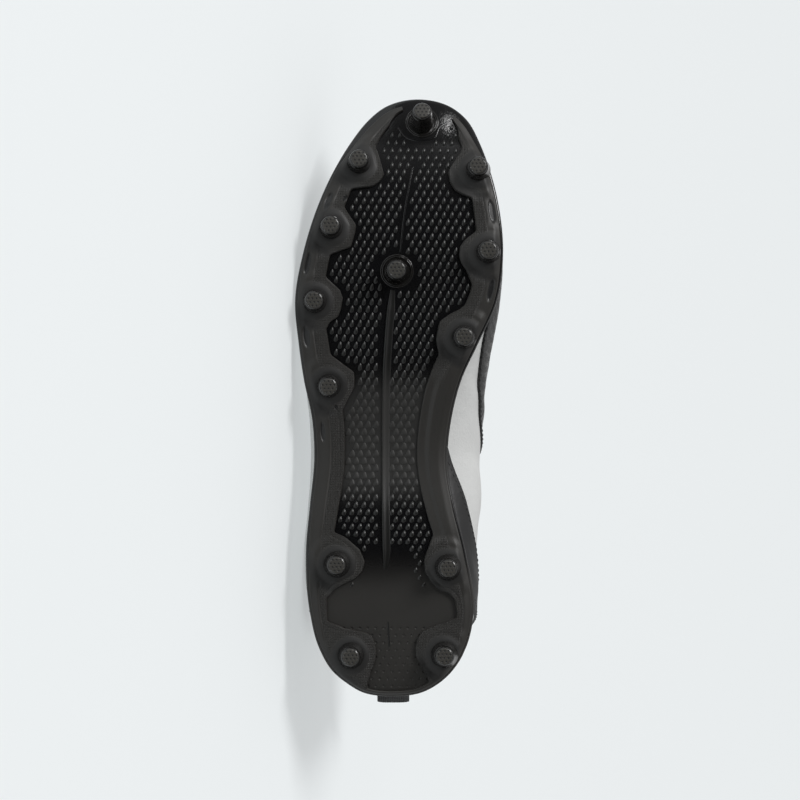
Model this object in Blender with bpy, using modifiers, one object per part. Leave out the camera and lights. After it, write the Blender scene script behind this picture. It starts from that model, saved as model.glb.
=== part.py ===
"""American football cleat, a right shoe in a men's US size 9, lying on its outer side.

The shoe is modelled in its own frame: x from heel to toe, y towards the inner side of the foot
(medial), z up from the plane that the stud tips stand on. One empty then lays it on its side.
"""

import math
from collections import namedtuple

import bmesh
import bpy
import numpy as np
from mathutils import Matrix, Vector

# Driving sizes, in metres
SOLE_LENGTH = 0.288
BALL_WIDTH = 0.1006
HEEL_HEIGHT = 0.078
INSTEP_HEIGHT = 0.080
STUD_HEIGHT = 0.011
TOE_SPRING = 0.019
ARCH_RISE = 0.004
HEEL_LIFT = 0.0015

# Clearances: between pieces that meet, under a layer, round the insole, over the tongue, under the lace
GAP = 0.0003
LAYER_GAP = 0.0005
INSOLE_CLEARANCE = 0.0008
CUFF_CLEARANCE = 0.0008
TONGUE_CLEARANCE = 0.0012
LACE_CLEARANCE = 0.0008

# Outsole
PLATE_THICKNESS = 0.003
RIM_THICKNESS = 0.0016
RIM_SIDE = 0.0045
RIM_TOE = 0.0075
RIM_HEEL = 0.0075
EDGE_ROUND = 0.0012
FRAME_THICKNESS = 0.0015
FRAME_INSET = 0.0012
FRAME_BEVEL = 0.0009
LOBE_RADIUS = 0.0130
LOBE_BLEND = 0.0022
SPINE_WIDTH = 0.0042
SPINE_HEIGHT = 0.0012

# Where the sole's bends and its rim's higher ends begin and end, as shares of its length
HEEL_LIFT_TO = 0.06
ARCH_FROM = 0.25
ARCH_TO = 0.59
TOE_SPRING_FROM = 0.70
RIM_HEEL_FROM = 0.02
RIM_HEEL_TO = 0.18
RIM_TOE_FROM = 0.78
RIM_TOE_TO = 0.97
MIDDLE_FROM = 0.17
MIDDLE_TO = 0.86

# Studs
STUD_FLARE_RADIUS = 0.0078
STUD_RADIUS = 0.0053
STUD_TIP_RADIUS = 0.0042
HEEL_STUD_RADIUS = 0.0060
HEEL_STUD_TIP_RADIUS = 0.0049
STUD_CHAMFER = 0.0007
STUD_GROOVE = 0.0005
STUD_GROOVE_WIDTH = 0.0009
STUD_FLARE_HEIGHT = 0.0030
STUD_DRAFT = 1.10
STUD_SIDES = 12

# Upper and the layers on it
UPPER_WALL = 0.0020
OVERLAY_THICKNESS = 0.0009
INSOLE_THICKNESS = 0.0040
INSOLE_CUP = 0.0015
TONGUE_THICKNESS = 0.0045
TONGUE_TOP = 0.024
TONGUE_CROWN = 0.0015
CUFF_PADDING = 0.0050
CUFF_DEPTH = 0.022
CUFF_ROLL = 0.0042
CUFF_FRONT = 0.345
TAB_WIDTH = 0.016
TAB_THICKNESS = 0.0024
TAB_RISE = 0.005
EYELETS_A_SIDE = 6
EYELET_RADIUS = 0.0038
EYELET_BORE = 0.0022
EYELET_HEIGHT = 0.0008
EYELET_SIDES = 8
LACE_WIDTH = 0.0062
LACE_THICKNESS = 0.0015
LACE_CROWN = 0.0012
LACE_LIFT = 0.0002

# Mesh density, in stations round the shoe
STATIONS = 56
FRAME_STATIONS = 92
UPPER_ROWS = 9
LACE_STEPS = 6
TONGUE_STEPS = 9
CROWDING = 0.45

# The sole's outline: how far along its length, and how far each edge is from the long axis
Outline = namedtuple("Outline", "along lateral medial")
SOLE_OUTLINE = (
    Outline(0.007, -0.144, 0.149),
    Outline(0.022, -0.216, 0.226),
    Outline(0.042, -0.283, 0.287),
    Outline(0.082, -0.350, 0.355),
    Outline(0.142, -0.394, 0.393),
    Outline(0.243, -0.413, 0.354),
    Outline(0.323, -0.394, 0.299),
    Outline(0.399, -0.374, 0.268),
    Outline(0.465, -0.384, 0.286),
    Outline(0.531, -0.423, 0.334),
    Outline(0.590, -0.447, 0.411),
    Outline(0.665, -0.465, 0.505),
    Outline(0.745, -0.426, 0.534),
    Outline(0.826, -0.355, 0.513),
    Outline(0.885, -0.280, 0.473),
    Outline(0.926, -0.211, 0.431),
    Outline(0.966, -0.115, 0.365),
    Outline(0.986, -0.039, 0.292),
)
HEEL_TIP_ACROSS = 0.005
TOE_TIP_ACROSS = 0.133

# Sections of the upper, in order round the foot from the back of the heel, along the medial side
# to the toe and back along the lateral side. foot is where the section starts on the sole's edge,
# top_along and top_across are where it ends on the top line, and its height is a share of the
# heel height plus a share of the instep height. out and reach are the handles of its curve at
# the sole and at the top, as shares of the ball width, and rise and drop their upright parts, as
# shares of the section's height. swing turns the top handle from square to the sole's edge
# towards the section's foot.
Section = namedtuple("Section", "side foot top_along top_across heel instep rise out reach drop swing")
MEDIAL = 1
LATERAL = -1
UPPER_SECTIONS = (
    Section(MEDIAL, 0.000, 0.026, 0.005, 1.00, 0.00, 0.28, 0.075, 0.040, 0.36, 0.0),
    Section(MEDIAL, 0.035, 0.038, 0.165, 0.97, 0.00, 0.28, 0.060, 0.050, 0.36, 0.0),
    Section(MEDIAL, 0.140, 0.115, 0.290, 0.82, 0.00, 0.30, 0.070, 0.080, 0.36, 0.0),
    Section(MEDIAL, 0.250, 0.210, 0.315, 0.76, 0.00, 0.31, 0.140, 0.090, 0.34, 0.0),
    Section(MEDIAL, 0.350, 0.298, 0.275, 0.30, 0.56, 0.33, 0.215, 0.150, 0.26, 0.1),
    Section(MEDIAL, 0.420, 0.355, 0.185, 0.00, 1.00, 0.33, 0.230, 0.210, 0.16, 0.3),
    Section(MEDIAL, 0.500, 0.425, 0.150, 0.00, 0.93, 0.35, 0.200, 0.240, 0.12, 0.4),
    Section(MEDIAL, 0.600, 0.520, 0.140, 0.00, 0.82, 0.37, 0.120, 0.260, 0.11, 0.5),
    Section(MEDIAL, 0.700, 0.607, 0.128, 0.00, 0.73, 0.40, 0.060, 0.280, 0.10, 0.5),
    Section(MEDIAL, 0.800, 0.665, 0.115, 0.00, 0.66, 0.42, 0.045, 0.300, 0.12, 0.6),
    Section(MEDIAL, 0.920, 0.700, 0.085, 0.00, 0.625, 0.46, 0.045, 0.380, 0.16, 0.9),
    Section(MEDIAL, 1.000, 0.710, 0.040, 0.00, 0.61, 0.50, 0.040, 0.430, 0.18, 1.0),
    Section(LATERAL, 0.920, 0.698, -0.010, 0.00, 0.62, 0.46, 0.020, 0.360, 0.18, 0.9),
    Section(LATERAL, 0.800, 0.660, -0.055, 0.00, 0.655, 0.42, -0.020, 0.280, 0.14, 0.6),
    Section(LATERAL, 0.700, 0.605, -0.085, 0.00, 0.725, 0.40, -0.045, 0.255, 0.12, 0.5),
    Section(LATERAL, 0.600, 0.520, -0.110, 0.00, 0.815, 0.38, -0.020, 0.250, 0.12, 0.5),
    Section(LATERAL, 0.500, 0.425, -0.130, 0.00, 0.925, 0.36, 0.045, 0.240, 0.13, 0.4),
    Section(LATERAL, 0.420, 0.355, -0.170, 0.00, 0.99, 0.34, 0.065, 0.220, 0.16, 0.3),
    Section(LATERAL, 0.350, 0.298, -0.295, 0.30, 0.54, 0.33, 0.055, 0.150, 0.26, 0.1),
    Section(LATERAL, 0.250, 0.210, -0.350, 0.72, 0.00, 0.31, 0.050, 0.090, 0.34, 0.0),
    Section(LATERAL, 0.140, 0.115, -0.312, 0.79, 0.00, 0.30, 0.050, 0.080, 0.36, 0.0),
    Section(LATERAL, 0.035, 0.038, -0.160, 0.96, 0.00, 0.28, 0.055, 0.050, 0.36, 0.0),
)

# Where the frame's inner edge runs, as a share of the ball width in from the sole's edge
Band = namedtuple("Band", "along width")
FRAME_BAND = (
    Band(0.000, 0.030),
    Band(0.080, 0.060),
    Band(0.150, 0.088),
    Band(0.250, 0.125),
    Band(0.350, 0.145),
    Band(0.500, 0.155),
    Band(0.620, 0.140),
    Band(0.850, 0.122),
    Band(0.950, 0.100),
    Band(0.990, 0.060),
)
FRAME_LATERAL_TIP = 0.986
FRAME_MEDIAL_TIP = 0.975

# Studs: where each stands, as shares of the sole's length and of the ball width
Stud = namedtuple("Stud", "name along across heel on_frame")
STUDS = (
    Stud("stud_toe", 0.9615, 0.145, False, False),
    Stud("stud_lateral_1", 0.8944, -0.158, False, True),
    Stud("stud_lateral_2", 0.7854, -0.292, False, True),
    Stud("stud_lateral_3", 0.6632, -0.369, False, True),
    Stud("stud_lateral_4", 0.5226, -0.302, False, True),
    Stud("stud_medial_1", 0.8826, 0.413, False, True),
    Stud("stud_medial_2", 0.7455, 0.460, False, True),
    Stud("stud_medial_3", 0.6031, 0.345, False, True),
    Stud("stud_centre", 0.7135, 0.024, False, False),
    Stud("stud_heel_lateral_front", 0.2229, -0.263, True, True),
    Stud("stud_heel_medial_front", 0.2177, 0.268, True, True),
    Stud("stud_heel_lateral_rear", 0.0705, -0.197, True, True),
    Stud("stud_heel_medial_rear", 0.0719, 0.250, True, True),
)

# The rib down the middle of the plate
Rib = namedtuple("Rib", "along across")
SPINE_FRONT = (Rib(0.890, 0.100), Rib(0.815, 0.062), Rib(0.745, 0.040))
SPINE_REAR = (
    Rib(0.682, 0.005),
    Rib(0.620, -0.040),
    Rib(0.500, -0.058),
    Rib(0.340, -0.058),
    Rib(0.220, -0.040),
    Rib(0.085, -0.015),
)

# How far up the upper things are, as shares: its rim, the layers' edges, the eyelets and the lip
RIM_SHARE = 0.08
LOW_EDGE = 0.115
COUNTER_TOP = 0.40
COUNTER_CROWN = 0.12
VAMP_TOP = 0.798
EYESTAY_LOW = 0.810
QUARTER_TOP = 0.860
EYELET_UP = 0.912
LACE_LIP = 0.985
EYESTAY_HIGH = 0.995
TAB_ROWS = (0.62, 0.72, 0.82, 0.92, 1.0)

# Where the layers begin and end along the sole, at their low edge and at their top
Limit = namedtuple("Limit", "low high")
VAMP_BACK = Limit(0.640, 0.500)
QUARTER_FRONT = Limit(0.430, 0.225)
QUARTER_BACK = Limit(0.150, 0.100)
COUNTER_FRONT = Limit(0.085, 0.060)
QUARTER_SWEEP = 1.6

# Places along the throat, as shares of the sole's length
THROAT_BACK = 0.36
EYESTAY_BACK = 0.368
EYELETS_FRONT = 0.668
EYELETS_BACK = 0.388
TONGUE_FRONT = 0.740
TONGUE_BACK = 0.380
THROAT_FRONT_MEDIAL = 0.70
THROAT_FRONT_LATERAL = 0.69

# The tongue: how far under the upper its sides reach, and its widths above the collar's corners
TONGUE_WING = Limit(0.86, 0.94)
TONGUE_DROOP = 0.45
Stand = namedtuple("Stand", "up width")
TONGUE_STAND = (Stand(0.14, 0.75), Stand(0.45, 0.98), Stand(0.82, 1.16), Stand(1.0, 0.98))
TONGUE_LEAN = Vector((-0.60, 0, 0.80))

# The collar's padding in section: how far in, as a share of the padding, and how far above the
# top edge, as a share of the roll, or below it, as a share of the cuff's depth
CUFF_SHOULDER = (0.8, 0.5)
CUFF_BELLY = (1.0, -0.25)
CUFF_HEM = (0.6, -0.72)
CUFF_EDGE = 0.0006
CUFF_THIN_END = 0.25

# Sizes worked out from those above
FRAME_DROP = GAP + FRAME_THICKNESS
BASE_HEIGHT = STUD_HEIGHT + FRAME_DROP
UPPER_INSET = RIM_THICKNESS + GAP
INSOLE_INSET = UPPER_INSET + UPPER_WALL + INSOLE_CLEARANCE
FLOOR_HEIGHT = BASE_HEIGHT + PLATE_THICKNESS
OVERLAY_OUT = LAYER_GAP + OVERLAY_THICKNESS
TOP_ROW = (1 - RIM_SHARE) / UPPER_ROWS

UP = Vector((0, 0, 1))


def share_between(x, low, high):
    return min(max((x - low) / (high - low), 0.0), 1.0)


def ease(t):
    return t * t * (3 - 2 * t)


def smooth_loop(keys, values, period):
    """A function that runs smoothly through the values at the keys, round a closed loop."""
    keys = np.asarray(keys, float)
    values = np.asarray(values, float)
    keys = np.concatenate([keys - period, keys, keys + period])
    values = np.concatenate([values, values, values])
    step = np.diff(keys)[:, None]
    slope = np.diff(values, axis=0) / step
    middle = (slope[:-1] * step[1:] + slope[1:] * step[:-1]) / (step[:-1] + step[1:])
    tangent = np.concatenate([slope[:1], middle, slope[-1:]])

    def at(key):
        i = int(np.searchsorted(keys, key, side="right")) - 1
        length = keys[i + 1] - keys[i]
        t = (key - keys[i]) / length
        bend = t * t * (3 - 2 * t)
        leave = t * (1 - t) * (1 - t) * length
        arrive = t * t * (t - 1) * length
        ends = (1 - bend) * values[i] + bend * values[i + 1]
        return ends + leave * tangent[i] + arrive * tangent[i + 1]

    return at


def smooth_path(points, count):
    """Evenly keyed points on a smooth open curve through the given ones."""
    points = [Vector(p) for p in points]
    points = [2 * points[0] - points[1], *points, 2 * points[-1] - points[-2]]
    spans = len(points) - 3
    path = []
    for k in range(count + 1):
        place = spans * k / count
        i = min(int(place), spans - 1)
        t = place - i
        a, b, c, d = points[i : i + 4]
        path.append(
            b
            + (c - a) * (t / 2)
            + (2 * a - 5 * b + 4 * c - d) * (t * t / 2)
            + (3 * b - a - 3 * c + d) * (t * t * t / 2)
        )
    return path


class SoleEdge:
    """The sole's outline in plan. turn runs 0 to 1 from heel to toe on the medial side, and 1 to 2 back."""

    SAMPLES = 600

    def __init__(self):
        medial = [(s.along * SOLE_LENGTH, s.medial * BALL_WIDTH) for s in SOLE_OUTLINE]
        lateral = [(s.along * SOLE_LENGTH, s.lateral * BALL_WIDTH) for s in SOLE_OUTLINE]
        heel = (0.0, HEEL_TIP_ACROSS * BALL_WIDTH)
        toe = (SOLE_LENGTH, TOE_TIP_ACROSS * BALL_WIDTH)
        loop = np.array([heel, *medial, toe, *lateral[::-1], heel])
        keys = np.concatenate([[0], np.cumsum(np.linalg.norm(np.diff(loop, axis=0), axis=1))])
        curve = smooth_loop(keys[:-1], loop[:-1], keys[-1])
        at_toe = keys[len(medial) + 1]
        halves = np.linspace(0, at_toe, self.SAMPLES), np.linspace(at_toe, keys[-1], self.SAMPLES)
        fine = np.concatenate([halves[0], halves[1][1:]])
        self.points = np.array([curve(k % keys[-1]) for k in fine])
        arc = np.concatenate([[0], np.cumsum(np.linalg.norm(np.diff(self.points, axis=0), axis=1))])
        toe_arc = arc[self.SAMPLES - 1]
        lateral_turn = 1 + (arc - toe_arc) / (arc[-1] - toe_arc)
        self.turns = np.where(arc <= toe_arc, arc / toe_arc, lateral_turn)
        along = np.roll(self.points[:-1], -1, axis=0) - np.roll(self.points[:-1], 1, axis=0)
        along = np.vstack([along, along[:1]])
        self.normals = np.stack([-along[:, 1], along[:, 0]], axis=1)
        self.normals /= np.linalg.norm(self.normals, axis=1)[:, None]

    def point(self, turn):
        turn %= 2
        return Vector([np.interp(turn, self.turns, self.points[:, i]) for i in (0, 1)])

    def outward(self, turn):
        turn %= 2
        return Vector([np.interp(turn, self.turns, self.normals[:, i]) for i in (0, 1)]).normalized()

    def turn_at(self, side, along):
        """The turn where one side of the outline is this share of the length from the heel."""
        half = slice(0, self.SAMPLES) if side == MEDIAL else slice(self.SAMPLES - 1, None)
        x = self.points[half, 0]
        turns = self.turns[half]
        if side == LATERAL:
            x = x[::-1]
            turns = turns[::-1]
        return float(np.interp(along * SOLE_LENGTH, x, turns))


EDGE = SoleEdge()


def base_height(x):
    """How high the ground side of the plate is: flat under heel and ball, arched, sprung at the toe."""
    along = x / SOLE_LENGTH
    arch = share_between(along, ARCH_FROM, ARCH_TO)
    spring = max(along - TOE_SPRING_FROM, 0.0) / (1 - TOE_SPRING_FROM)
    heel = max(HEEL_LIFT_TO - along, 0.0) / HEEL_LIFT_TO
    lift = ARCH_RISE * (1 - math.cos(2 * math.pi * arch)) / 2
    return BASE_HEIGHT + lift + TOE_SPRING * spring**2 + HEEL_LIFT * heel**2


def base_slope(x):
    step = 0.0005
    return math.atan((base_height(x + step) - base_height(x - step)) / (2 * step))


def on_base(x, y, above):
    """A point over the ground side of the plate, measured square to it. Below it is negative."""
    slope = base_slope(x)
    return Vector((x - above * math.sin(slope), y, base_height(x) + above * math.cos(slope)))


def edge_point(turn, inset, above):
    p = EDGE.point(turn) - EDGE.outward(turn) * inset
    return on_base(p.x, p.y, above)


def middle_point(turn):
    """The point on the sole's middle line that a point of its edge is joined to."""
    turn %= 2
    side = min(max(turn if turn <= 1 else 2 - turn, MIDDLE_FROM), MIDDLE_TO)
    return (EDGE.point(side) + EDGE.point(2 - side)) / 2


def inner_point(turn, share, inset, above):
    """A point that is this share of the way from the middle line to the inset edge."""
    middle = middle_point(turn)
    p = EDGE.point(turn) - EDGE.outward(turn) * inset
    p = middle + (p - middle) * share
    return on_base(p.x, p.y, above)


def rim_height(turn):
    """The top of the plate's rim above its ground side."""
    along = EDGE.point(turn).x / SOLE_LENGTH
    toe = ease(share_between(along, RIM_TOE_FROM, RIM_TOE_TO)) * (RIM_TOE - RIM_SIDE)
    heel = (1 - ease(share_between(along, RIM_HEEL_FROM, RIM_HEEL_TO))) * (RIM_HEEL - RIM_SIDE)
    return PLATE_THICKNESS + RIM_SIDE + toe + heel


def section_keys():
    return [EDGE.turn_at(s.side, s.foot) for s in UPPER_SECTIONS]


SECTION_AT = smooth_loop(section_keys(), [s[2:] for s in UPPER_SECTIONS], 2.0)


def top_point(turn):
    top_along, top_across, heel, instep = SECTION_AT(turn % 2)[:4]
    height = FLOOR_HEIGHT + heel * HEEL_HEIGHT + instep * INSTEP_HEIGHT
    return Vector((top_along * SOLE_LENGTH, top_across * BALL_WIDTH, height))


def upper_point(turn, v):
    """The outer face of the upper. v is 0 in the plate's rim and 1 at the top line."""
    rise, out, reach, drop, swing = SECTION_AT(turn % 2)[4:]
    start = edge_point(turn, UPPER_INSET, PLATE_THICKNESS + GAP)
    foot = edge_point(turn, UPPER_INSET, rim_height(turn))
    if v < RIM_SHARE:
        return start.lerp(foot, v / RIM_SHARE)
    t = (v - RIM_SHARE) / (1 - RIM_SHARE)
    top = top_point(turn)
    height = top.z - foot.z
    square = EDGE.outward(turn).to_3d()
    to_foot = Vector((foot.x - top.x, foot.y - top.y, 0)).normalized()
    away = (square * (1 - swing) + to_foot * swing).normalized()
    low = foot + square * (out * BALL_WIDTH) + UP * (rise * height)
    high = top + away * (reach * BALL_WIDTH) - UP * (drop * height)
    s = 1 - t
    return foot * s**3 + low * (3 * s * s * t) + high * (3 * s * t * t) + top * t**3


def upper_normal(turn, v):
    """The direction straight out of the upper."""
    step = 0.004
    low = max(v - step, RIM_SHARE + 0.001)
    high = min(max(v + step, low + step), 1.0)
    across = upper_point(turn + step, v) - upper_point(turn - step, v)
    upward = upper_point(turn, high) - upper_point(turn, low)
    return upward.cross(across).normalized()


def over_upper(turn, v, out):
    return upper_point(turn, v) + upper_normal(turn, v) * out


def turn_under_top(side, top_along):
    """The turn whose section ends at this place along the throat's edge."""
    back = EDGE.turn_at(side, THROAT_BACK)
    front = 1.0
    for _ in range(40):
        middle = (back + front) / 2
        if SECTION_AT(middle)[0] < top_along:
            back = middle
        else:
            front = middle
    return middle


def crowded(turn):
    """The same turn, moved so that even steps come closer together round the heel and the toe."""
    return turn - CROWDING * math.sin(2 * math.pi * turn) / (2 * math.pi)


def uncrowded(turn):
    """The turn that crowded() moves to this one."""
    found = turn
    for _ in range(30):
        found = turn + CROWDING * math.sin(2 * math.pi * found) / (2 * math.pi)
    return found


def layer_turn(side, along):
    return uncrowded(EDGE.turn_at(side, along))


def loop_turns():
    return [crowded(2 * i / STATIONS) for i in range(STATIONS)]


def upper_rows(low, high):
    """The heights of the upper's own rows that lie between these two, which are added at the ends."""
    own = [RIM_SHARE + TOP_ROW * i for i in range(UPPER_ROWS + 1)]
    return [low, *(v for v in own if low + 0.02 < v < high - 0.02), high]


def between(start, end):
    return lambda share: start + (end - start) * share


def swept(start, end, power):
    return lambda share: end + (start - end) * (1 - share) ** power


# Building meshes


def material(name, colour, roughness):
    made = bpy.data.materials.new(name)
    made.use_nodes = True
    shader = made.node_tree.nodes["Principled BSDF"]
    shader.inputs["Base Color"].default_value = (*colour, 1)
    shader.inputs["Roughness"].default_value = roughness
    return made


def add_object(name, mesh, colour, roughness, smooth=True):
    made = bpy.data.objects.new(name, mesh)
    PARTS.objects.link(made)
    made.parent = SHOE
    if not mesh.materials:
        mesh.materials.append(material(name, colour, roughness))
    if smooth:
        mesh.shade_smooth()
    return made


def mesh_from(name, points, faces, merge=1e-6):
    form = bmesh.new()
    verts = [form.verts.new(p) for p in points]
    for face in faces:
        form.faces.new([verts[i] for i in face])
    bmesh.ops.remove_doubles(form, verts=form.verts, dist=merge)
    bmesh.ops.recalc_face_normals(form, faces=form.faces)
    mesh = bpy.data.meshes.new(name)
    form.to_mesh(mesh)
    form.free()
    return mesh


def bridged(rings, closed_ring, closed_stack):
    """Points and quads between neighbouring rings of equal length."""
    size = len(rings[0])
    count = len(rings)
    points = [p for ring in rings for p in ring]
    faces = []
    for i in range(count if closed_stack else count - 1):
        for j in range(size if closed_ring else size - 1):
            k = (j + 1) % size
            n = (i + 1) % count
            faces.append((i * size + j, i * size + k, n * size + k, n * size + j))
    return points, faces


def turned_body(name, rings, colour, roughness):
    """A body whose rings run from its middle line over one face, round the edge and back."""
    points, faces = bridged(rings, True, False)
    return add_object(name, mesh_from(name, points, faces), colour, roughness)


def strip_body(name, sections, colour, roughness):
    """A body of closed sections in a row, with a face over each end."""
    points, faces = bridged(sections, True, False)
    size = len(sections[0])
    last = len(points) - size
    faces.append(tuple(range(size)))
    faces.append(tuple(range(last, last + size)))
    return add_object(name, mesh_from(name, points, faces), colour, roughness)


def sheet_body(name, rows, thickness, offset, closed, colour, roughness):
    """An open grid of points, given its wall by a Solidify modifier."""
    points, faces = bridged(rows, closed, False)
    form = bmesh.new()
    verts = [form.verts.new(p) for p in points]
    for face in faces:
        form.faces.new([verts[i] for i in reversed(face)])
    mesh = bpy.data.meshes.new(name)
    form.to_mesh(mesh)
    form.free()
    made = add_object(name, mesh, colour, roughness)
    wall = made.modifiers.new("wall", "SOLIDIFY")
    wall.thickness = thickness
    wall.offset = offset
    wall.use_even_offset = False
    return made


# The sole


def build_plate():
    turns = loop_turns()
    edge = [
        lambda q: inner_point(q, 0.0, EDGE_ROUND, 0.0),
        lambda q: inner_point(q, 0.55, EDGE_ROUND, 0.0),
        lambda q: edge_point(q, EDGE_ROUND, 0.0),
        lambda q: edge_point(q, 0.0, EDGE_ROUND),
        lambda q: edge_point(q, 0.0, rim_height(q)),
        lambda q: edge_point(q, RIM_THICKNESS, rim_height(q)),
        lambda q: edge_point(q, RIM_THICKNESS, PLATE_THICKNESS),
        lambda q: inner_point(q, 0.55, RIM_THICKNESS, PLATE_THICKNESS),
        lambda q: inner_point(q, 0.0, RIM_THICKNESS, PLATE_THICKNESS),
    ]
    rings = [[place(q) for q in turns] for place in edge]
    turned_body("outsole_plate", rings, (0.008, 0.008, 0.009), 0.25)


def band_width(turn):
    along = EDGE.point(turn).x / SOLE_LENGTH
    return float(np.interp(along, [b.along for b in FRAME_BAND], [b.width for b in FRAME_BAND])) * BALL_WIDTH


def frame_width(turn):
    """How far in from the sole's edge the frame reaches: its band, swelling to a lobe round each stud."""
    edge = EDGE.point(turn)
    inward = -EDGE.outward(turn)
    widths = [band_width(turn)]
    for stud in STUDS:
        if not stud.on_frame or (stud.across > 0) != (turn % 2 < 1):
            continue
        to_stud = Vector((stud.along * SOLE_LENGTH, stud.across * BALL_WIDTH)) - edge
        depth = to_stud.dot(inward)
        aside = (to_stud - inward * depth).length
        if aside < LOBE_RADIUS:
            widths.append(depth + math.sqrt(LOBE_RADIUS**2 - aside**2))
    return LOBE_BLEND * math.log(sum(math.exp(w / LOBE_BLEND) for w in widths))


def build_frame():
    start = EDGE.turn_at(LATERAL, FRAME_LATERAL_TIP)
    end = EDGE.turn_at(MEDIAL, FRAME_MEDIAL_TIP) + 2
    sections = []
    for i in range(FRAME_STATIONS + 1):
        turn = start + (end - start) * i / FRAME_STATIONS
        width = frame_width(turn)
        profile = (
            (FRAME_INSET, -GAP),
            (width, -GAP),
            (width, FRAME_BEVEL - FRAME_DROP),
            (width - FRAME_BEVEL, -FRAME_DROP),
            (FRAME_INSET + FRAME_BEVEL, -FRAME_DROP),
            (FRAME_INSET, FRAME_BEVEL - FRAME_DROP),
        )
        sections.append([edge_point(turn, inset, above) for inset, above in profile])
    strip_body("outsole_frame", sections, (0.020, 0.018, 0.016), 0.6)


def build_spine(name, ribs, steps):
    path = smooth_path([(r.along * SOLE_LENGTH, r.across * BALL_WIDTH, 0) for r in ribs], steps)
    half = SPINE_WIDTH / 2
    sections = []
    for i, p in enumerate(path):
        ahead = (path[min(i + 1, steps)] - path[max(i - 1, 0)]).normalized()
        side = Vector((-ahead.y, ahead.x, 0))
        taper = 0.45 + 0.55 * ease(share_between(min(i, steps - i), 0, 2))
        profile = ((-half, -GAP), (-half * 0.5, -SPINE_HEIGHT), (half * 0.5, -SPINE_HEIGHT), (half, -GAP))
        section = []
        for aside, above in profile:
            q = p + side * (aside * taper)
            section.append(on_base(q.x, q.y, above))
        sections.append(section)
    strip_body(name, sections, (0.008, 0.008, 0.009), 0.3)


def stud_mesh(name, radius, tip_radius, foot, colour, roughness):
    """A stud turned about its axis: flared foot, tapered shank, groove and chamfered tip."""
    height = STUD_HEIGHT
    profile = (
        (0.0, height),
        (tip_radius, height),
        (radius - STUD_GROOVE, height - STUD_CHAMFER),
        (radius - STUD_GROOVE, height - STUD_CHAMFER - STUD_GROOVE_WIDTH),
        (radius, height - STUD_CHAMFER - STUD_GROOVE_WIDTH - STUD_GROOVE),
        (radius * STUD_DRAFT, STUD_FLARE_HEIGHT),
        (STUD_FLARE_RADIUS, foot),
        (0.0, foot),
    )
    mesh = bpy.data.meshes.new(name)
    mesh.from_pydata([(r, 0, z) for r, z in profile], [(i, i + 1) for i in range(len(profile) - 1)], [])
    mesh.materials.append(material(name, colour, roughness))
    return mesh


def build_studs():
    colour = (0.018, 0.016, 0.015)
    meshes = {
        (False, True): stud_mesh("stud_fore", STUD_RADIUS, STUD_TIP_RADIUS, GAP, colour, 0.5),
        (False, False): stud_mesh("stud_plate", STUD_RADIUS, STUD_TIP_RADIUS, GAP - FRAME_DROP, colour, 0.4),
        (True, True): stud_mesh("stud_heel", HEEL_STUD_RADIUS, HEEL_STUD_TIP_RADIUS, GAP, colour, 0.5),
    }
    for stud in STUDS:
        made = add_object(stud.name, meshes[stud.heel, stud.on_frame], colour, 0.5, smooth=False)
        x = stud.along * SOLE_LENGTH
        made.location = on_base(x, stud.across * BALL_WIDTH, -FRAME_DROP)
        made.rotation_euler = (math.pi, -base_slope(x), 0)
        turned = made.modifiers.new("turned", "SCREW")
        turned.steps = STUD_SIDES
        turned.render_steps = STUD_SIDES
        turned.use_merge_vertices = True
        turned.merge_threshold = 0.00005
        turned.use_normal_calculate = True
        turned.use_normal_flip = True


def build_insole():
    turns = loop_turns()
    low = PLATE_THICKNESS + GAP
    high = low + INSOLE_THICKNESS
    places = (
        lambda q: inner_point(q, 0.0, INSOLE_INSET, low),
        lambda q: edge_point(q, INSOLE_INSET, low),
        lambda q: edge_point(q, INSOLE_INSET, high + INSOLE_CUP),
        lambda q: inner_point(q, 0.80, INSOLE_INSET, high),
        lambda q: inner_point(q, 0.0, INSOLE_INSET, high),
    )
    rings = [[place(q) for q in turns] for place in places]
    turned_body("insole", rings, (0.03, 0.03, 0.032), 0.8)


# The upper and the layers on it


def build_upper():
    turns = loop_turns()
    shares = upper_rows(0.0, 1.0)
    rows = [[upper_point(q, v) for q in turns] for v in shares]
    sheet_body("upper", rows, UPPER_WALL, -1.0, True, (0.62, 0.63, 0.64), 0.5)


def overlay(name, first_turn, last_turn, shares, top, columns, colour, roughness):
    """A layer on the upper. Its ends are functions of how far up it is, and its top edge of how far along."""
    grid = []
    low = shares[0]
    for v in shares:
        b = (v - low) / (shares[-1] - low)
        line = []
        for i in range(columns + 1):
            a = i / columns
            turn = crowded(first_turn(b) + (last_turn(b) - first_turn(b)) * a)
            line.append(over_upper(turn, low + (top(a) - low) * b, LAYER_GAP))
        grid.append(line)
    return sheet_body(name, grid, OVERLAY_THICKNESS, 1.0, False, colour, roughness)


def build_vamp():
    overlay(
        "vamp_overlay",
        between(layer_turn(MEDIAL, VAMP_BACK.low), layer_turn(MEDIAL, VAMP_BACK.high)),
        between(layer_turn(LATERAL, VAMP_BACK.low), layer_turn(LATERAL, VAMP_BACK.high)),
        upper_rows(LOW_EDGE, VAMP_TOP),
        between(VAMP_TOP, VAMP_TOP),
        24,
        (0.012, 0.012, 0.013),
        0.4,
    )


def build_eyestay():
    first = uncrowded(turn_under_top(MEDIAL, EYESTAY_BACK))
    last = uncrowded(turn_under_top(LATERAL, EYESTAY_BACK))
    overlay(
        "eyestay",
        between(first, first),
        between(last, last),
        upper_rows(EYESTAY_LOW, EYESTAY_HIGH),
        between(EYESTAY_HIGH, EYESTAY_HIGH),
        28,
        (0.014, 0.014, 0.015),
        0.45,
    )


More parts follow.
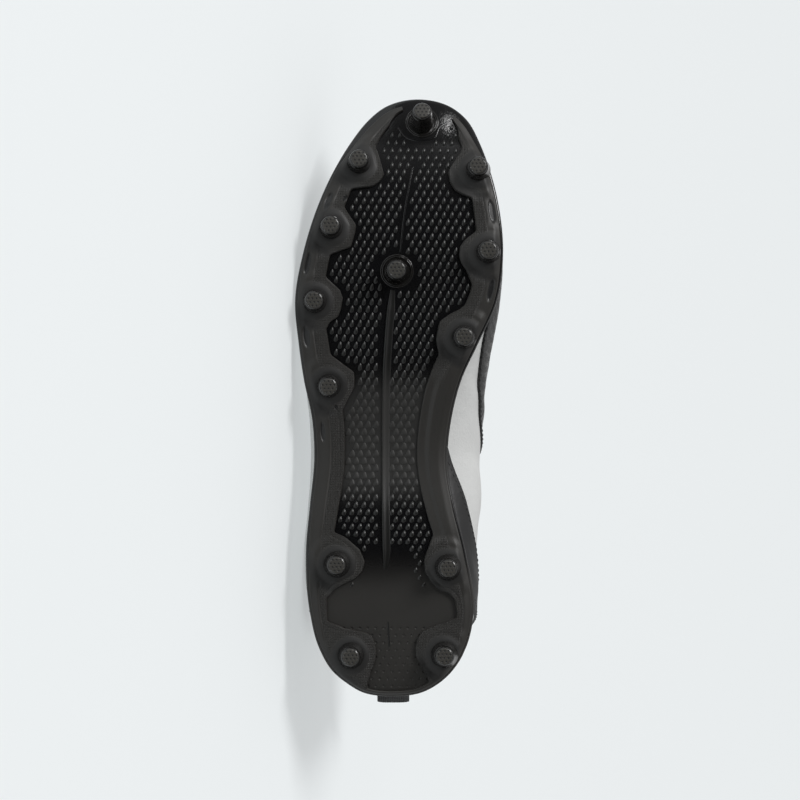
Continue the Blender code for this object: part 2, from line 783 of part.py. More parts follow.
def build_quarters():
    black = (0.012, 0.012, 0.013)
    top = between(QUARTER_TOP, QUARTER_TOP)
    for name, side in (("quarter_panel_medial", MEDIAL), ("quarter_panel_lateral", LATERAL)):
        front = swept(layer_turn(side, QUARTER_FRONT.low), layer_turn(side, QUARTER_FRONT.high), QUARTER_SWEEP)
        back = between(layer_turn(side, QUARTER_BACK.low), layer_turn(side, QUARTER_BACK.high))
        limits = (back, front) if side == MEDIAL else (front, back)
        overlay(name, *limits, upper_rows(LOW_EDGE, QUARTER_TOP), top, 8, black, 0.35)


def build_counter():
    overlay(
        "heel_counter",
        between(layer_turn(LATERAL, COUNTER_FRONT.low), layer_turn(LATERAL, COUNTER_FRONT.high)),
        between(layer_turn(MEDIAL, COUNTER_FRONT.low) + 2, layer_turn(MEDIAL, COUNTER_FRONT.high) + 2),
        upper_rows(LOW_EDGE, COUNTER_TOP),
        lambda a: COUNTER_TOP + COUNTER_CROWN * math.sin(math.pi * a),
        12,
        (0.45, 0.46, 0.47),
        0.5,
    )


def cuff_point(turn, edge, out, upward, aside, above):
    """A point beside the top edge. Below the edge it follows the wall of the upper."""
    if above > 0:
        return edge + out * aside + upward * above
    length = (upper_point(turn, 1.0) - upper_point(turn, 0.6)).length
    v = 1 + above / length * 0.4
    return over_upper(turn, v, aside)


def build_cuff():
    """The padded roll on the top edge, which also pads the inside of the collar."""
    first = EDGE.turn_at(LATERAL, CUFF_FRONT)
    last = EDGE.turn_at(MEDIAL, CUFF_FRONT) + 2
    own = [q for q in (*loop_turns(), *(q + 2 for q in loop_turns())) if first < q < last]
    inner = UPPER_WALL + CUFF_CLEARANCE
    sections = []
    for i, turn in enumerate(own):
        full = ease(share_between(min(i, len(own) - 1 - i), 0, 4))
        pad = CUFF_PADDING * (CUFF_THIN_END + (1 - CUFF_THIN_END) * full)
        profile = (
            (0.0, GAP),
            (0.0, GAP + CUFF_ROLL * 0.45),
            (-inner, GAP + CUFF_ROLL),
            (-inner - pad * CUFF_SHOULDER[0], GAP + CUFF_ROLL * CUFF_SHOULDER[1]),
            (-inner - pad * CUFF_BELLY[0], CUFF_DEPTH * CUFF_BELLY[1]),
            (-inner - pad * CUFF_HEM[0], CUFF_DEPTH * CUFF_HEM[1]),
            (-inner - CUFF_EDGE, -CUFF_DEPTH),
            (-inner, -CUFF_DEPTH),
            (-inner, -CUFF_DEPTH / 2),
            (-inner, GAP),
        )
        edge = upper_point(turn, 1.0)
        out = upper_normal(turn, 1 - TOP_ROW / 2)
        upward = (edge - upper_point(turn, 1 - TOP_ROW)).normalized()
        sections.append([cuff_point(turn, edge, out, upward, a, b) for a, b in profile])
    strip_body("collar_cuff", sections, (0.02, 0.02, 0.021), 0.8)


def tongue_section(along, wing, inner):
    """Across the throat, under the upper's lips. Ahead of the throat it slides on under the vamp."""
    past = max(along - THROAT_FRONT_MEDIAL, 0.0) * SOLE_LENGTH
    turn_m = turn_under_top(MEDIAL, min(along, THROAT_FRONT_MEDIAL))
    turn_l = turn_under_top(LATERAL, THROAT_FRONT_LATERAL if past else along)
    shift = Vector((past, 0, -TONGUE_DROOP * past))
    shares = (wing, (wing + 1) / 2, 1.0)
    lateral = [over_upper(turn_l, v, -inner) for v in shares]
    medial = [over_upper(turn_m, v, -inner) for v in reversed(shares)]
    crown = (lateral[-1] + medial[0]) / 2 + UP * TONGUE_CROWN
    top = [p + shift for p in (*lateral, crown, *medial)]
    down = UP * -TONGUE_THICKNESS
    bottom = [p + down for p in reversed(top[1:-1])]
    return [*top, top[-1] + down * 0.6, *bottom, top[0] + down * 0.6]


def build_tongue():
    """A padded sheet under the throat that stands up past the collar."""
    inner = UPPER_WALL + TONGUE_CLEARANCE
    sections = []
    for i in range(TONGUE_STEPS + 1):
        share = i / TONGUE_STEPS
        reach = ease(share_between(share, 0.6, 1.0))
        wing = TONGUE_WING.low + (TONGUE_WING.high - TONGUE_WING.low) * reach
        sections.append(tongue_section(TONGUE_FRONT + (TONGUE_BACK - TONGUE_FRONT) * share, wing, inner))
    last = sections[-1]
    centre = sum(last, Vector()) / len(last)
    for stand in TONGUE_STAND:
        section = [p + TONGUE_LEAN * (TONGUE_TOP * stand.up) for p in last]
        for q in section:
            q.y = centre.y + (q.y - centre.y) * stand.width
        sections.append(section)
    strip_body("tongue", sections, (0.35, 0.36, 0.37), 0.8)


def build_tab():
    """Webbing up the back of the heel, folded over above the collar."""
    steps = 4
    around = (EDGE.point(0.01) - EDGE.point(0)).length / 0.01
    half_turn = TAB_WIDTH / 2 / around
    turns = [2 + half_turn * (2 * i / steps - 1) for i in range(steps + 1)]
    rows = [[over_upper(q, v, LAYER_GAP) for q in turns] for v in TAB_ROWS]
    loop = Vector((-TAB_THICKNESS / 2, 0, CUFF_ROLL + TAB_RISE))
    for share in (0.5, 1.0):
        rows.append([p + loop * share for p in rows[len(TAB_ROWS) - 1]])
    sheet_body("pull_tab", rows, TAB_THICKNESS, 1.0, False, (0.012, 0.012, 0.013), 0.7)


# Lacing


def eyelet_place(side, k):
    """The turn and the height on the upper of one eyelet, counted from the toe."""
    along = EYELETS_FRONT + (EYELETS_BACK - EYELETS_FRONT) * k / (EYELETS_A_SIDE - 1)
    return turn_under_top(side, along), EYELET_UP


def build_eyelets():
    radii = ((EYELET_BORE, 0.0), (EYELET_RADIUS, 0.0), (EYELET_RADIUS, EYELET_HEIGHT), (EYELET_BORE, EYELET_HEIGHT))
    mesh = bpy.data.meshes.new("eyelet")
    edges = [(0, 1), (1, 2), (2, 3), (3, 0)]
    mesh.from_pydata([(r, 0, z) for r, z in radii], edges, [])
    mesh.materials.append(material("eyelet", (0.02, 0.02, 0.02), 0.35))
    for side, word in ((MEDIAL, "medial"), (LATERAL, "lateral")):
        for k in range(EYELETS_A_SIDE):
            turn, v = eyelet_place(side, k)
            made = add_object(f"eyelet_{word}_{k + 1}", mesh, (0, 0, 0), 0.4, smooth=False)
            out = upper_normal(turn, v)
            made.location = over_upper(turn, v, OVERLAY_OUT + GAP)
            made.rotation_mode = "QUATERNION"
            made.rotation_quaternion = out.to_track_quat("Z", "X")
            turned = made.modifiers.new("turned", "SCREW")
            turned.steps = EYELET_SIDES
            turned.render_steps = EYELET_SIDES
            turned.use_normal_calculate = True
            turned.use_normal_flip = True
            turned.use_merge_vertices = True
            turned.merge_threshold = 0.00001


def lace_bar(name, start, end, lift):
    """One flat crossing, from over one eyelet to over another."""
    height = OVERLAY_OUT + GAP + EYELET_HEIGHT + LACE_CLEARANCE + LACE_THICKNESS / 2 + lift
    (turn_a, v_a), (turn_b, v_b) = start, end
    over_a = over_upper(turn_a, v_a, height)
    over_b = over_upper(turn_b, v_b, height)
    lip_a = over_upper(turn_a, LACE_LIP, height)
    lip_b = over_upper(turn_b, LACE_LIP, height)
    middle = (lip_a + lip_b) / 2 + UP * (TONGUE_CROWN + LACE_CROWN)
    path = smooth_path([over_a, lip_a.lerp(lip_b, 0.06), middle, lip_b.lerp(lip_a, 0.06), over_b], LACE_STEPS)
    normals = [upper_normal(turn_a, v_a), UP, upper_normal(turn_b, v_b)]
    sections = []
    for i, p in enumerate(path):
        share = i / LACE_STEPS
        if share < 0.5:
            facing = normals[0].lerp(normals[1], share * 2)
        else:
            facing = normals[1].lerp(normals[2], share * 2 - 1)
        ahead = (path[min(i + 1, LACE_STEPS)] - path[max(i - 1, 0)]).normalized()
        side = ahead.cross(facing).normalized() * (LACE_WIDTH / 2)
        thick = side.cross(ahead).normalized() * (LACE_THICKNESS / 2)
        sections.append([p + side + thick, p - side + thick, p - side - thick, p + side - thick])
    points, faces = bridged(sections, True, False)
    last = len(points) - 4
    faces += [tuple(range(4)), tuple(range(last, last + 4))]
    made = bpy.data.objects.new(name, mesh_from(name, points, faces))
    made.parent = SHOE
    return made


def build_lace():
    bars = []
    for k in range(EYELETS_A_SIDE - 1):
        for lift, (a, b) in ((0.0, (MEDIAL, LATERAL)), (LACE_LIFT, (LATERAL, MEDIAL))):
            bars.append(lace_bar(f"lace_bar_{k}_{a}", eyelet_place(a, k), eyelet_place(b, k + 1), lift))
    first = lace_bar("lace", eyelet_place(MEDIAL, 0), eyelet_place(LATERAL, 0), LACE_LIFT / 2)
    PARTS.objects.link(first)
    first.data.materials.append(material("lace", (0.7, 0.7, 0.7), 0.9))
    for bar in bars:
        HELPERS.objects.link(bar)
        bar.hide_render = True
        bar.display_type = "WIRE"
    joined = first.modifiers.new("crossings", "BOOLEAN")
    joined.operation = "UNION"
    joined.operand_type = "COLLECTION"
    joined.collection = HELPERS
    joined.solver = "EXACT"


# Laying the shoe down


def evaluated_points():
    """Every piece's points in the shoe's own frame, and the middle of their volume."""
    graph = bpy.context.evaluated_depsgraph_get()
    points = []
    moment = Vector()
    total = 0.0
    for piece in PARTS.objects:
        shape = piece.evaluated_get(graph)
        mesh = shape.to_mesh()
        mesh.calc_loop_triangles()
        place = shape.matrix_world
        corners = [place @ v.co for v in mesh.vertices]
        for triangle in mesh.loop_triangles:
            a, b, c = (corners[i] for i in triangle.vertices)
            volume = a.dot(b.cross(c)) / 6
            moment += (a + b + c) / 4 * volume
            total += volume
        points += corners
        shape.to_mesh_clear()
    return points, moment / total


def rests_on(face, centre):
    """Whether the point straight above this face, when it lies on the floor, is the centre."""
    corners = [v.co for v in face.verts]
    for i, corner in enumerate(corners):
        side = corners[(i + 1) % len(corners)] - corner
        if side.cross(centre - corner).dot(face.normal) < 0:
            return False
    return True


def lay_down():
    """Turns the shoe onto the face of its hull, on the lateral side, that it comes to rest on."""
    points, centre = evaluated_points()
    hull = bmesh.new()
    for p in points:
        hull.verts.new(p)
    bmesh.ops.convex_hull(hull, input=hull.verts)
    hull.normal_update()
    down = Vector((0, LATERAL, 0))
    steady = [f for f in hull.faces if rests_on(f, centre)]
    face = max(steady, key=lambda f: f.normal.dot(down))
    up = -face.normal.copy()
    hull.free()
    heelward = Vector((-1, 0, 0))
    heelward = (heelward - up * heelward.dot(up)).normalized()
    back = up.cross(heelward)
    turn = Matrix((heelward, back, up))
    turned = [turn @ p for p in points]
    low = Vector([min(p[i] for p in turned) for i in range(3)])
    high = Vector([max(p[i] for p in turned) for i in range(3)])
    origin = Vector(((low.x + high.x) / 2, (low.y + high.y) / 2, low.z))
    SHOE.matrix_world = Matrix.Translation(-origin) @ turn.to_4x4()


for old in list(bpy.data.objects):
    bpy.data.objects.remove(old, do_unlink=True)

PARTS = bpy.data.collections.new("football_cleat")
HELPERS = bpy.data.collections.new("lace_crossings")
bpy.context.scene.collection.children.link(PARTS)
bpy.context.scene.collection.children.link(HELPERS)
SHOE = bpy.data.objects.new("shoe_frame", None)
bpy.context.scene.collection.objects.link(SHOE)

build_plate()
build_frame()
build_spine("spine_front", SPINE_FRONT, 6)
build_spine("spine_rear", SPINE_REAR, 14)
build_studs()
build_insole()
build_upper()
build_vamp()
build_eyestay()
build_quarters()
build_counter()
build_cuff()
build_tongue()
build_tab()
build_eyelets()
build_lace()
bpy.context.view_layer.update()
lay_down()
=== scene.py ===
# %% [markdown]
# # An american football cleat, looked at from under its sole
# A football cleat is two shells glued together. The outsole is a thin moulded plate of thermoplastic
# polyurethane (TPU) with studs, and the upper is a coated synthetic skin pulled over a last. This lesson
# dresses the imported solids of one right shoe, which lies on its outer side with its sole towards the
# camera. Every surface here is worked out again from the sizes and short tables that the solids were
# made from, but with many more points, so that the light runs over it as it does over the real shoe. Here
# and there a value is set a millimetre or two closer to the real shoe than the solid has it.

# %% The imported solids
import math
from collections import namedtuple

import bpy
import numpy as np
from mathutils import Matrix, Vector
from mathutils.kdtree import KDTree


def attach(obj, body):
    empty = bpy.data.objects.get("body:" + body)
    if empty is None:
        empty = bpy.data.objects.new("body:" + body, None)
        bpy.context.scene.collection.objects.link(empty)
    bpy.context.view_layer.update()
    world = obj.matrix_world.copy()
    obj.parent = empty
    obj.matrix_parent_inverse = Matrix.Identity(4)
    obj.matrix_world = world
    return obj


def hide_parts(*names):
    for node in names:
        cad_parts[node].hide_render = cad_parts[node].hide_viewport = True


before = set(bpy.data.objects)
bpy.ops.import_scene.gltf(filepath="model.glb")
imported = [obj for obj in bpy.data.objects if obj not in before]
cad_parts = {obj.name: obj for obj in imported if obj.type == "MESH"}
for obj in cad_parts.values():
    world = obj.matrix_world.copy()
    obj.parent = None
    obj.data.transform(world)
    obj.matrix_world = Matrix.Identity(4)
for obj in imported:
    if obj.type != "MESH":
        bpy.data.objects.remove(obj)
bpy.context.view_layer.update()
print("solids:", len(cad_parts))

# %% [markdown]
# ## The sizes of the shoe
# A shoe is measured along its sole. Places along it are shares of the sole's length, counted from the
# heel, and places across it are shares of the width at the ball of the foot. The inner side of the foot,
# where the big toe is, is called medial, and the outer side lateral. These are the solids' own sizes.

# %% Driving sizes, in metres
SOLE_LENGTH = 0.288
BALL_WIDTH = 0.1006
HEEL_HEIGHT = 0.078
INSTEP_HEIGHT = 0.080
STUD_HEIGHT = 0.011
TOE_SPRING = 0.019
ARCH_RISE = 0.004
HEEL_LIFT = 0.0015
GAP = 0.0003
LAYER_GAP = 0.0005
PLATE_THICKNESS = 0.003
RIM_THICKNESS = 0.0016
RIM_SIDE = 0.0045
RIM_TOE = 0.0075
RIM_HEEL = 0.0075
FRAME_THICKNESS = 0.0015
UPPER_WALL = 0.0020
FRAME_DROP = GAP + FRAME_THICKNESS
BASE_HEIGHT = STUD_HEIGHT + FRAME_DROP
FLOOR_HEIGHT = BASE_HEIGHT + PLATE_THICKNESS
UPPER_INSET = RIM_THICKNESS + GAP
MEDIAL = 1
LATERAL = -1

# The looks alone: how far the toe runs on past the solid's, and how it curves up across its middle
TOE_REACH = 0.0026
TOE_CROWN = 3.5
TOE_MIDDLE = 0.013

Outline = namedtuple("Outline", "along lateral medial")
SOLE_OUTLINE = (
    Outline(0.007, -0.144, 0.149),
    Outline(0.022, -0.216, 0.226),
    Outline(0.042, -0.283, 0.287),
    Outline(0.082, -0.350, 0.355),
    Outline(0.142, -0.394, 0.393),
    Outline(0.243, -0.413, 0.354),
    Outline(0.323, -0.394, 0.299),
    Outline(0.399, -0.374, 0.268),
    Outline(0.465, -0.384, 0.286),
    Outline(0.531, -0.423, 0.334),
    Outline(0.590, -0.447, 0.411),
    Outline(0.665, -0.465, 0.505),
    Outline(0.745, -0.426, 0.534),
    Outline(0.826, -0.355, 0.513),
    Outline(0.885, -0.280, 0.473),
    Outline(0.926, -0.211, 0.431),
    Outline(0.966, -0.115, 0.365),
    Outline(0.986, -0.039, 0.292),
)
HEEL_TIP_ACROSS = 0.005
TOE_TIP_ACROSS = 0.133

Section = namedtuple("Section", "side foot top_along top_across heel instep rise out reach drop swing")
UPPER_SECTIONS = (
    Section(MEDIAL, 0.000, 0.026, 0.005, 1.00, 0.00, 0.28, 0.075, 0.040, 0.36, 0.0),
    Section(MEDIAL, 0.035, 0.038, 0.165, 0.97, 0.00, 0.28, 0.060, 0.050, 0.36, 0.0),
    Section(MEDIAL, 0.140, 0.115, 0.290, 0.82, 0.00, 0.30, 0.070, 0.080, 0.36, 0.0),
    Section(MEDIAL, 0.250, 0.210, 0.315, 0.76, 0.00, 0.31, 0.140, 0.090, 0.34, 0.0),
    Section(MEDIAL, 0.350, 0.298, 0.275, 0.30, 0.56, 0.33, 0.300, 0.150, 0.26, 0.1),
    Section(MEDIAL, 0.420, 0.355, 0.185, 0.00, 1.00, 0.33, 0.335, 0.210, 0.16, 0.3),
    Section(MEDIAL, 0.500, 0.425, 0.150, 0.00, 0.93, 0.35, 0.315, 0.240, 0.12, 0.4),
    Section(MEDIAL, 0.600, 0.520, 0.140, 0.00, 0.82, 0.37, 0.180, 0.260, 0.11, 0.5),
    Section(MEDIAL, 0.700, 0.607, 0.128, 0.00, 0.73, 0.40, 0.070, 0.280, 0.10, 0.5),
    Section(MEDIAL, 0.800, 0.665, 0.115, 0.00, 0.66, 0.42, 0.045, 0.300, 0.12, 0.6),
    Section(MEDIAL, 0.920, 0.700, 0.085, 0.00, 0.625, 0.46, 0.045, 0.380, 0.16, 0.9),
    Section(MEDIAL, 1.000, 0.710, 0.040, 0.00, 0.61, 0.50, 0.040, 0.430, 0.18, 1.0),
    Section(LATERAL, 0.920, 0.698, -0.010, 0.00, 0.62, 0.46, 0.020, 0.360, 0.18, 0.9),
    Section(LATERAL, 0.800, 0.660, -0.055, 0.00, 0.655, 0.42, -0.020, 0.280, 0.14, 0.6),
    Section(LATERAL, 0.700, 0.605, -0.085, 0.00, 0.725, 0.40, -0.045, 0.255, 0.12, 0.5),
    Section(LATERAL, 0.600, 0.520, -0.110, 0.00, 0.815, 0.38, -0.020, 0.250, 0.12, 0.5),
    Section(LATERAL, 0.500, 0.425, -0.130, 0.00, 0.925, 0.36, 0.080, 0.240, 0.13, 0.4),
    Section(LATERAL, 0.420, 0.355, -0.170, 0.00, 0.99, 0.34, 0.095, 0.220, 0.16, 0.3),
    Section(LATERAL, 0.350, 0.298, -0.295, 0.30, 0.54, 0.33, 0.055, 0.150, 0.26, 0.1),
    Section(LATERAL, 0.250, 0.210, -0.350, 0.72, 0.00, 0.31, 0.050, 0.090, 0.34, 0.0),
    Section(LATERAL, 0.140, 0.115, -0.312, 0.79, 0.00, 0.30, 0.050, 0.080, 0.36, 0.0),
    Section(LATERAL, 0.035, 0.038, -0.160, 0.96, 0.00, 0.28, 0.055, 0.050, 0.36, 0.0),
)

Stud = namedtuple("Stud", "name along across heel on_frame")
STUDS = (
    Stud("stud_toe", 0.9615, 0.145, False, False),
    Stud("stud_lateral_1", 0.8944, -0.158, False, True),
    Stud("stud_lateral_2", 0.7854, -0.292, False, True),
    Stud("stud_lateral_3", 0.6632, -0.369, False, True),
    Stud("stud_lateral_4", 0.5226, -0.302, False, True),
    Stud("stud_medial_1", 0.8826, 0.413, False, True),
    Stud("stud_medial_2", 0.7455, 0.460, False, True),
    Stud("stud_medial_3", 0.6031, 0.345, False, True),
    Stud("stud_centre", 0.7135, 0.024, False, False),
    Stud("stud_heel_lateral_front", 0.2229, -0.263, True, True),
    Stud("stud_heel_medial_front", 0.2177, 0.268, True, True),
    Stud("stud_heel_lateral_rear", 0.0705, -0.197, True, True),
    Stud("stud_heel_medial_rear", 0.0719, 0.250, True, True),
)

# %% [markdown]
# ## The sole's outline and the way it bends
# The outline is a closed curve through a few measured widths. A number called turn runs round it: 0 to
# 1 from the heel to the toe along the medial side, and 1 to 2 back along the lateral side. The ground
# side of the plate is flat under the heel and the ball, arched between them, and springs up at the toe.
# The functions take whole arrays, because a visual mesh needs a hundred times the points of a solid.


# %% Curves
def ease(t):
    t = np.clip(t, 0.0, 1.0)
    return t * t * (3 - 2 * t)


def share_between(x, low, high):
    return np.clip((np.asarray(x, float) - low) / (high - low), 0.0, 1.0)


def smooth_loop(keys, values, period):
    """A function that runs smoothly through the values at the keys, round a closed loop."""
    keys = np.asarray(keys, float)
    values = np.asarray(values, float)
    keys = np.concatenate([keys - period, keys, keys + period])
    values = np.concatenate([values, values, values])
    step = np.diff(keys)[:, None]
    slope = np.diff(values, axis=0) / step
    middle = (slope[:-1] * step[1:] + slope[1:] * step[:-1]) / (step[:-1] + step[1:])
    tangent = np.concatenate([slope[:1], middle, slope[-1:]])

    def at(key):
        key = np.asarray(key, float)
        i = np.searchsorted(keys, key, side="right") - 1
        length = (keys[i + 1] - keys[i])[..., None]
        t = (key - keys[i])[..., None] / length
        bend = t * t * (3 - 2 * t)
        leave = t * (1 - t) * (1 - t) * length
        arrive = t * t * (t - 1) * length
        ends = (1 - bend) * values[i] + bend * values[i + 1]
        return ends + leave * tangent[i] + arrive * tangent[i + 1]

    return at


def unit(vectors):
    return vectors / np.linalg.norm(vectors, axis=-1, keepdims=True)


# %% The outline, by turn
OUTLINE_SAMPLES = 600


def sample_outline():
    """The outline's points, their turns and the directions straight out of them."""
    medial = [(s.along * SOLE_LENGTH, s.medial * BALL_WIDTH) for s in SOLE_OUTLINE]
    lateral = [(s.along * SOLE_LENGTH, s.lateral * BALL_WIDTH) for s in SOLE_OUTLINE]
    heel = (0.0, HEEL_TIP_ACROSS * BALL_WIDTH)
    toe = (SOLE_LENGTH, TOE_TIP_ACROSS * BALL_WIDTH)
    loop = np.array([heel, *medial, toe, *lateral[::-1], heel])
    keys = np.concatenate([[0], np.cumsum(np.linalg.norm(np.diff(loop, axis=0), axis=1))])
    curve = smooth_loop(keys[:-1], loop[:-1], keys[-1])
    at_toe = keys[len(medial) + 1]
    halves = np.linspace(0, at_toe, OUTLINE_SAMPLES), np.linspace(at_toe, keys[-1], OUTLINE_SAMPLES)
    points = curve(np.concatenate([halves[0], halves[1][1:]]) % keys[-1])
    arc = np.concatenate([[0], np.cumsum(np.linalg.norm(np.diff(points, axis=0), axis=1))])
    toe_arc = arc[OUTLINE_SAMPLES - 1]
    turns = np.where(arc <= toe_arc, arc / toe_arc, 1 + (arc - toe_arc) / (arc[-1] - toe_arc))
    along = np.roll(points[:-1], -1, axis=0) - np.roll(points[:-1], 1, axis=0)
    along = np.vstack([along, along[:1]])
    return points, turns, unit(np.stack([-along[:, 1], along[:, 0]], axis=1)), arc[-1]


OUTLINE_POINTS, OUTLINE_TURNS, OUTLINE_NORMALS, OUTLINE_LENGTH = sample_outline()


def edge_plan(turn):
    turn = np.asarray(turn, float) % 2
    return np.stack([np.interp(turn, OUTLINE_TURNS, OUTLINE_POINTS[:, i]) for i in (0, 1)], axis=-1)


def edge_outward(turn):
    turn = np.asarray(turn, float) % 2
    return unit(np.stack([np.interp(turn, OUTLINE_TURNS, OUTLINE_NORMALS[:, i]) for i in (0, 1)], axis=-1))


def turn_at(side, along):
    """The turn where one side of the outline is this share of the length from the heel."""
    half = slice(0, OUTLINE_SAMPLES) if side == MEDIAL else slice(OUTLINE_SAMPLES - 1, None)
    x = OUTLINE_POINTS[half, 0]
    turns = OUTLINE_TURNS[half]
    if side == LATERAL:
        x = x[::-1]
        turns = turns[::-1]
    return np.interp(np.asarray(along) * SOLE_LENGTH, x, turns)


print("outline:", round(OUTLINE_LENGTH * 1000), "mm round")


# %% The ground side of the plate
def base_height(x):
    along = np.asarray(x, float) / SOLE_LENGTH
    arch = share_between(along, 0.25, 0.59)
    spring = np.maximum(along - 0.70, 0.0) / 0.30
    heel = np.maximum(0.06 - along, 0.0) / 0.06
    lift = ARCH_RISE * (1 - np.cos(2 * np.pi * arch)) / 2
    return BASE_HEIGHT + lift + TOE_SPRING * spring**2 + HEEL_LIFT * heel**2


def base_slope(x):
    step = 0.0005
    return np.arctan((base_height(x + step) - base_height(x - step)) / (2 * step))


def on_base(x, y, above):
    """Points over the ground side of the plate, measured square to it. Below it is negative."""
    x, y, above = np.broadcast_arrays(np.asarray(x, float), np.asarray(y, float), np.asarray(above, float))
    slope = base_slope(x)
    reach = TOE_REACH * ease(share_between(x / SOLE_LENGTH, 0.90, 1.0))
    crown = TOE_CROWN * (y - TOE_MIDDLE) ** 2 * ease(share_between(x / SOLE_LENGTH, 0.90, 0.97))
    height = base_height(x) + crown + above * np.cos(slope)
    return np.stack([x + reach - above * np.sin(slope), y, height], axis=-1)


def edge_point(turn, inset, above):
    turn, inset, above = np.broadcast_arrays(*(np.asarray(a, float) for a in (turn, inset, above)))
    p = edge_plan(turn) - edge_outward(turn) * inset[..., None]
    return on_base(p[..., 0], p[..., 1], above)


def middle_plan(turn):
    turn = np.asarray(turn, float) % 2
    side = np.clip(np.where(turn <= 1, turn, 2 - turn), 0.17, 0.86)
    return (edge_plan(side) + edge_plan(2 - side)) / 2


def inner_point(turn, share, inset, above):
    middle = middle_plan(turn)
    p = edge_plan(turn) - edge_outward(turn) * inset
    p = middle + (p - middle) * share
    return on_base(p[..., 0], p[..., 1], above)


def rim_height(turn):
    along = edge_plan(turn)[..., 0] / SOLE_LENGTH
    toe = ease(share_between(along, 0.78, 0.97)) * (RIM_TOE - RIM_SIDE)
    heel = (1 - ease(share_between(along, 0.02, 0.18))) * (RIM_HEEL - RIM_SIDE)
    return PLATE_THICKNESS + RIM_SIDE + toe + heel


# %% [markdown]
# ## Where the shoe lies
# The solids lie on the floor, but the tables above are written for a shoe that stands. Six studs stand
# on the flat of the sole, so the turn and the shift between the two are found by laying the places of
# those studs in the table over the places where the solids are. Each piece is then modelled standing,
# and laid down by this one matrix.

# %% The shoe's own frame
ON_THE_FLAT = [s for s in STUDS if abs(base_slope(s.along * SOLE_LENGTH)) < 1e-6]


def node_points(name):
    points = np.array([v.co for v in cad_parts[name].data.vertices])
    return np.unique(np.round(points, 5), axis=0)


def lying_matrix():
    local = np.array([(s.along * SOLE_LENGTH, s.across * BALL_WIDTH, 0) for s in ON_THE_FLAT])
    clouds = [node_points(s.name) for s in ON_THE_FLAT]
    world = np.array([cloud.mean(axis=0) for cloud in clouds])
    a, _, b = np.linalg.svd((local - local.mean(axis=0)).T @ (world - world.mean(axis=0)))
    mirror = np.diag([1, 1, np.sign(np.linalg.det(b.T @ a.T))])
    turn = b.T @ mirror @ a.T
    shift = world.mean(axis=0) - turn @ local.mean(axis=0)
    up = turn[:, 2]
    tips = min(((cloud - shift) @ up).min() for cloud in clouds)
    return Matrix.Translation(Vector(shift + up * tips)) @ Matrix(turn).to_4x4()


LYING = lying_matrix()
print("the sole leans back by", round(math.degrees(math.asin(-LYING[2][2])), 1), "degrees")

# %% [markdown]
# ## The camera
# The photograph looks squarely at the sole, with the toe up and the medial side on the right, from about
# a metre and a half. The camera keeps that angle to the shoe. Because the shoe lies on its lateral side,
# the camera is rolled by a quarter turn, and the floor is at the left of the picture. A long lens keeps
# the studs from leaning outwards.

# %% Camera
CAMERA_DISTANCE = 1.5
PICTURE_SIDE = 0.3859
AIM = Vector((0.1433, 0.0039, BASE_HEIGHT))
SENSOR = 0.036


def add_camera():
    data = bpy.data.cameras.new("camera")
    data.sensor_width = SENSOR * 1000
    data.lens = SENSOR * 1000 * CAMERA_DISTANCE / PICTURE_SIDE
    data.clip_start = 0.05
    camera = bpy.data.objects.new("camera", data)
    bpy.context.collection.objects.link(camera)
    right = Vector((0, 1, 0))
    up = Vector((1, 0, 0))
    turned = Matrix((right, up, right.cross(up))).transposed().to_4x4()
    place = Matrix.Translation(AIM - Vector((0, 0, CAMERA_DISTANCE)))
    camera.matrix_world = LYING @ place @ turned
    bpy.context.scene.camera = camera
    return camera


CAMERA = add_camera()
print("camera height:", round(CAMERA.location.z, 3), "m")

# %% [markdown]
# ## Materials: one function for nodes, and one for colours
# A colour is written as the hex value that a picture editor shows, and turned to the linear numbers
# that Cycles works with. A node is added with its settings and its links in one call, which keeps a
# shader readable as a list of steps. The steps that turn up again and again have a short name each.


# %% Nodes and colours
def linear(code):
    """The linear colour of an sRGB hex value."""
    channels = [int(code[i : i + 2], 16) / 255 for i in (1, 3, 5)]
    return [c / 12.92 if c <= 0.04045 else ((c + 0.055) / 1.055) ** 2.4 for c in channels] + [1.0]


def node(tree, kind, inputs=None, **settings):
    """A node with its settings and, by socket name or number, its values and links."""
    made = tree.nodes.new(kind)
    for key, value in settings.items():
        setattr(made, key, value)
    for socket, value in (inputs or {}).items():
        if isinstance(value, bpy.types.NodeSocket):
            tree.links.new(value, made.inputs[socket])
        else:
            made.inputs[socket].default_value = value
    return made


def maths(tree, operation, *values):
    """The result of one sum on numbers."""
    return node(tree, "ShaderNodeMath", dict(enumerate(values)), operation=operation).outputs[0]


def vector_maths(tree, operation, *values):
    """The result of one sum on vectors, which is a number for a length or a dot product."""
    made = node(tree, "ShaderNodeVectorMath", dict(enumerate(values)), operation=operation)
    return made.outputs["Value" if operation in ("LENGTH", "DOT_PRODUCT") else "Vector"]


def ramp(tree, share, start, end):
    """A number that runs from start to end as the share runs from 0 to 1."""
    return node(tree, "ShaderNodeMapRange", {0: share, 3: start, 4: end}).outputs[0]


def smooth_step(tree, value, low, high, start=0.0, end=1.0):
    """A number that goes smoothly from start to end as the value passes from low to high."""
    sockets = {0: value, 1: low, 2: high, 3: start, 4: end}
    return node(tree, "ShaderNodeMapRange", sockets, interpolation_type="SMOOTHSTEP").outputs[0]


def blend(tree, share, start, end):
    """A colour that runs from one to the other. Each is a hex value or a link."""
    ends = [linear(colour) if isinstance(colour, str) else colour for colour in (start, end)]
    return node(tree, "ShaderNodeMix", {0: share, 6: ends[0], 7: ends[1]}, data_type="RGBA").outputs[2]


def noise(tree, place, scale, detail):
    sockets = {"Vector": place, "Scale": scale, "Detail": detail}
    return node(tree, "ShaderNodeTexNoise", sockets).outputs[0]


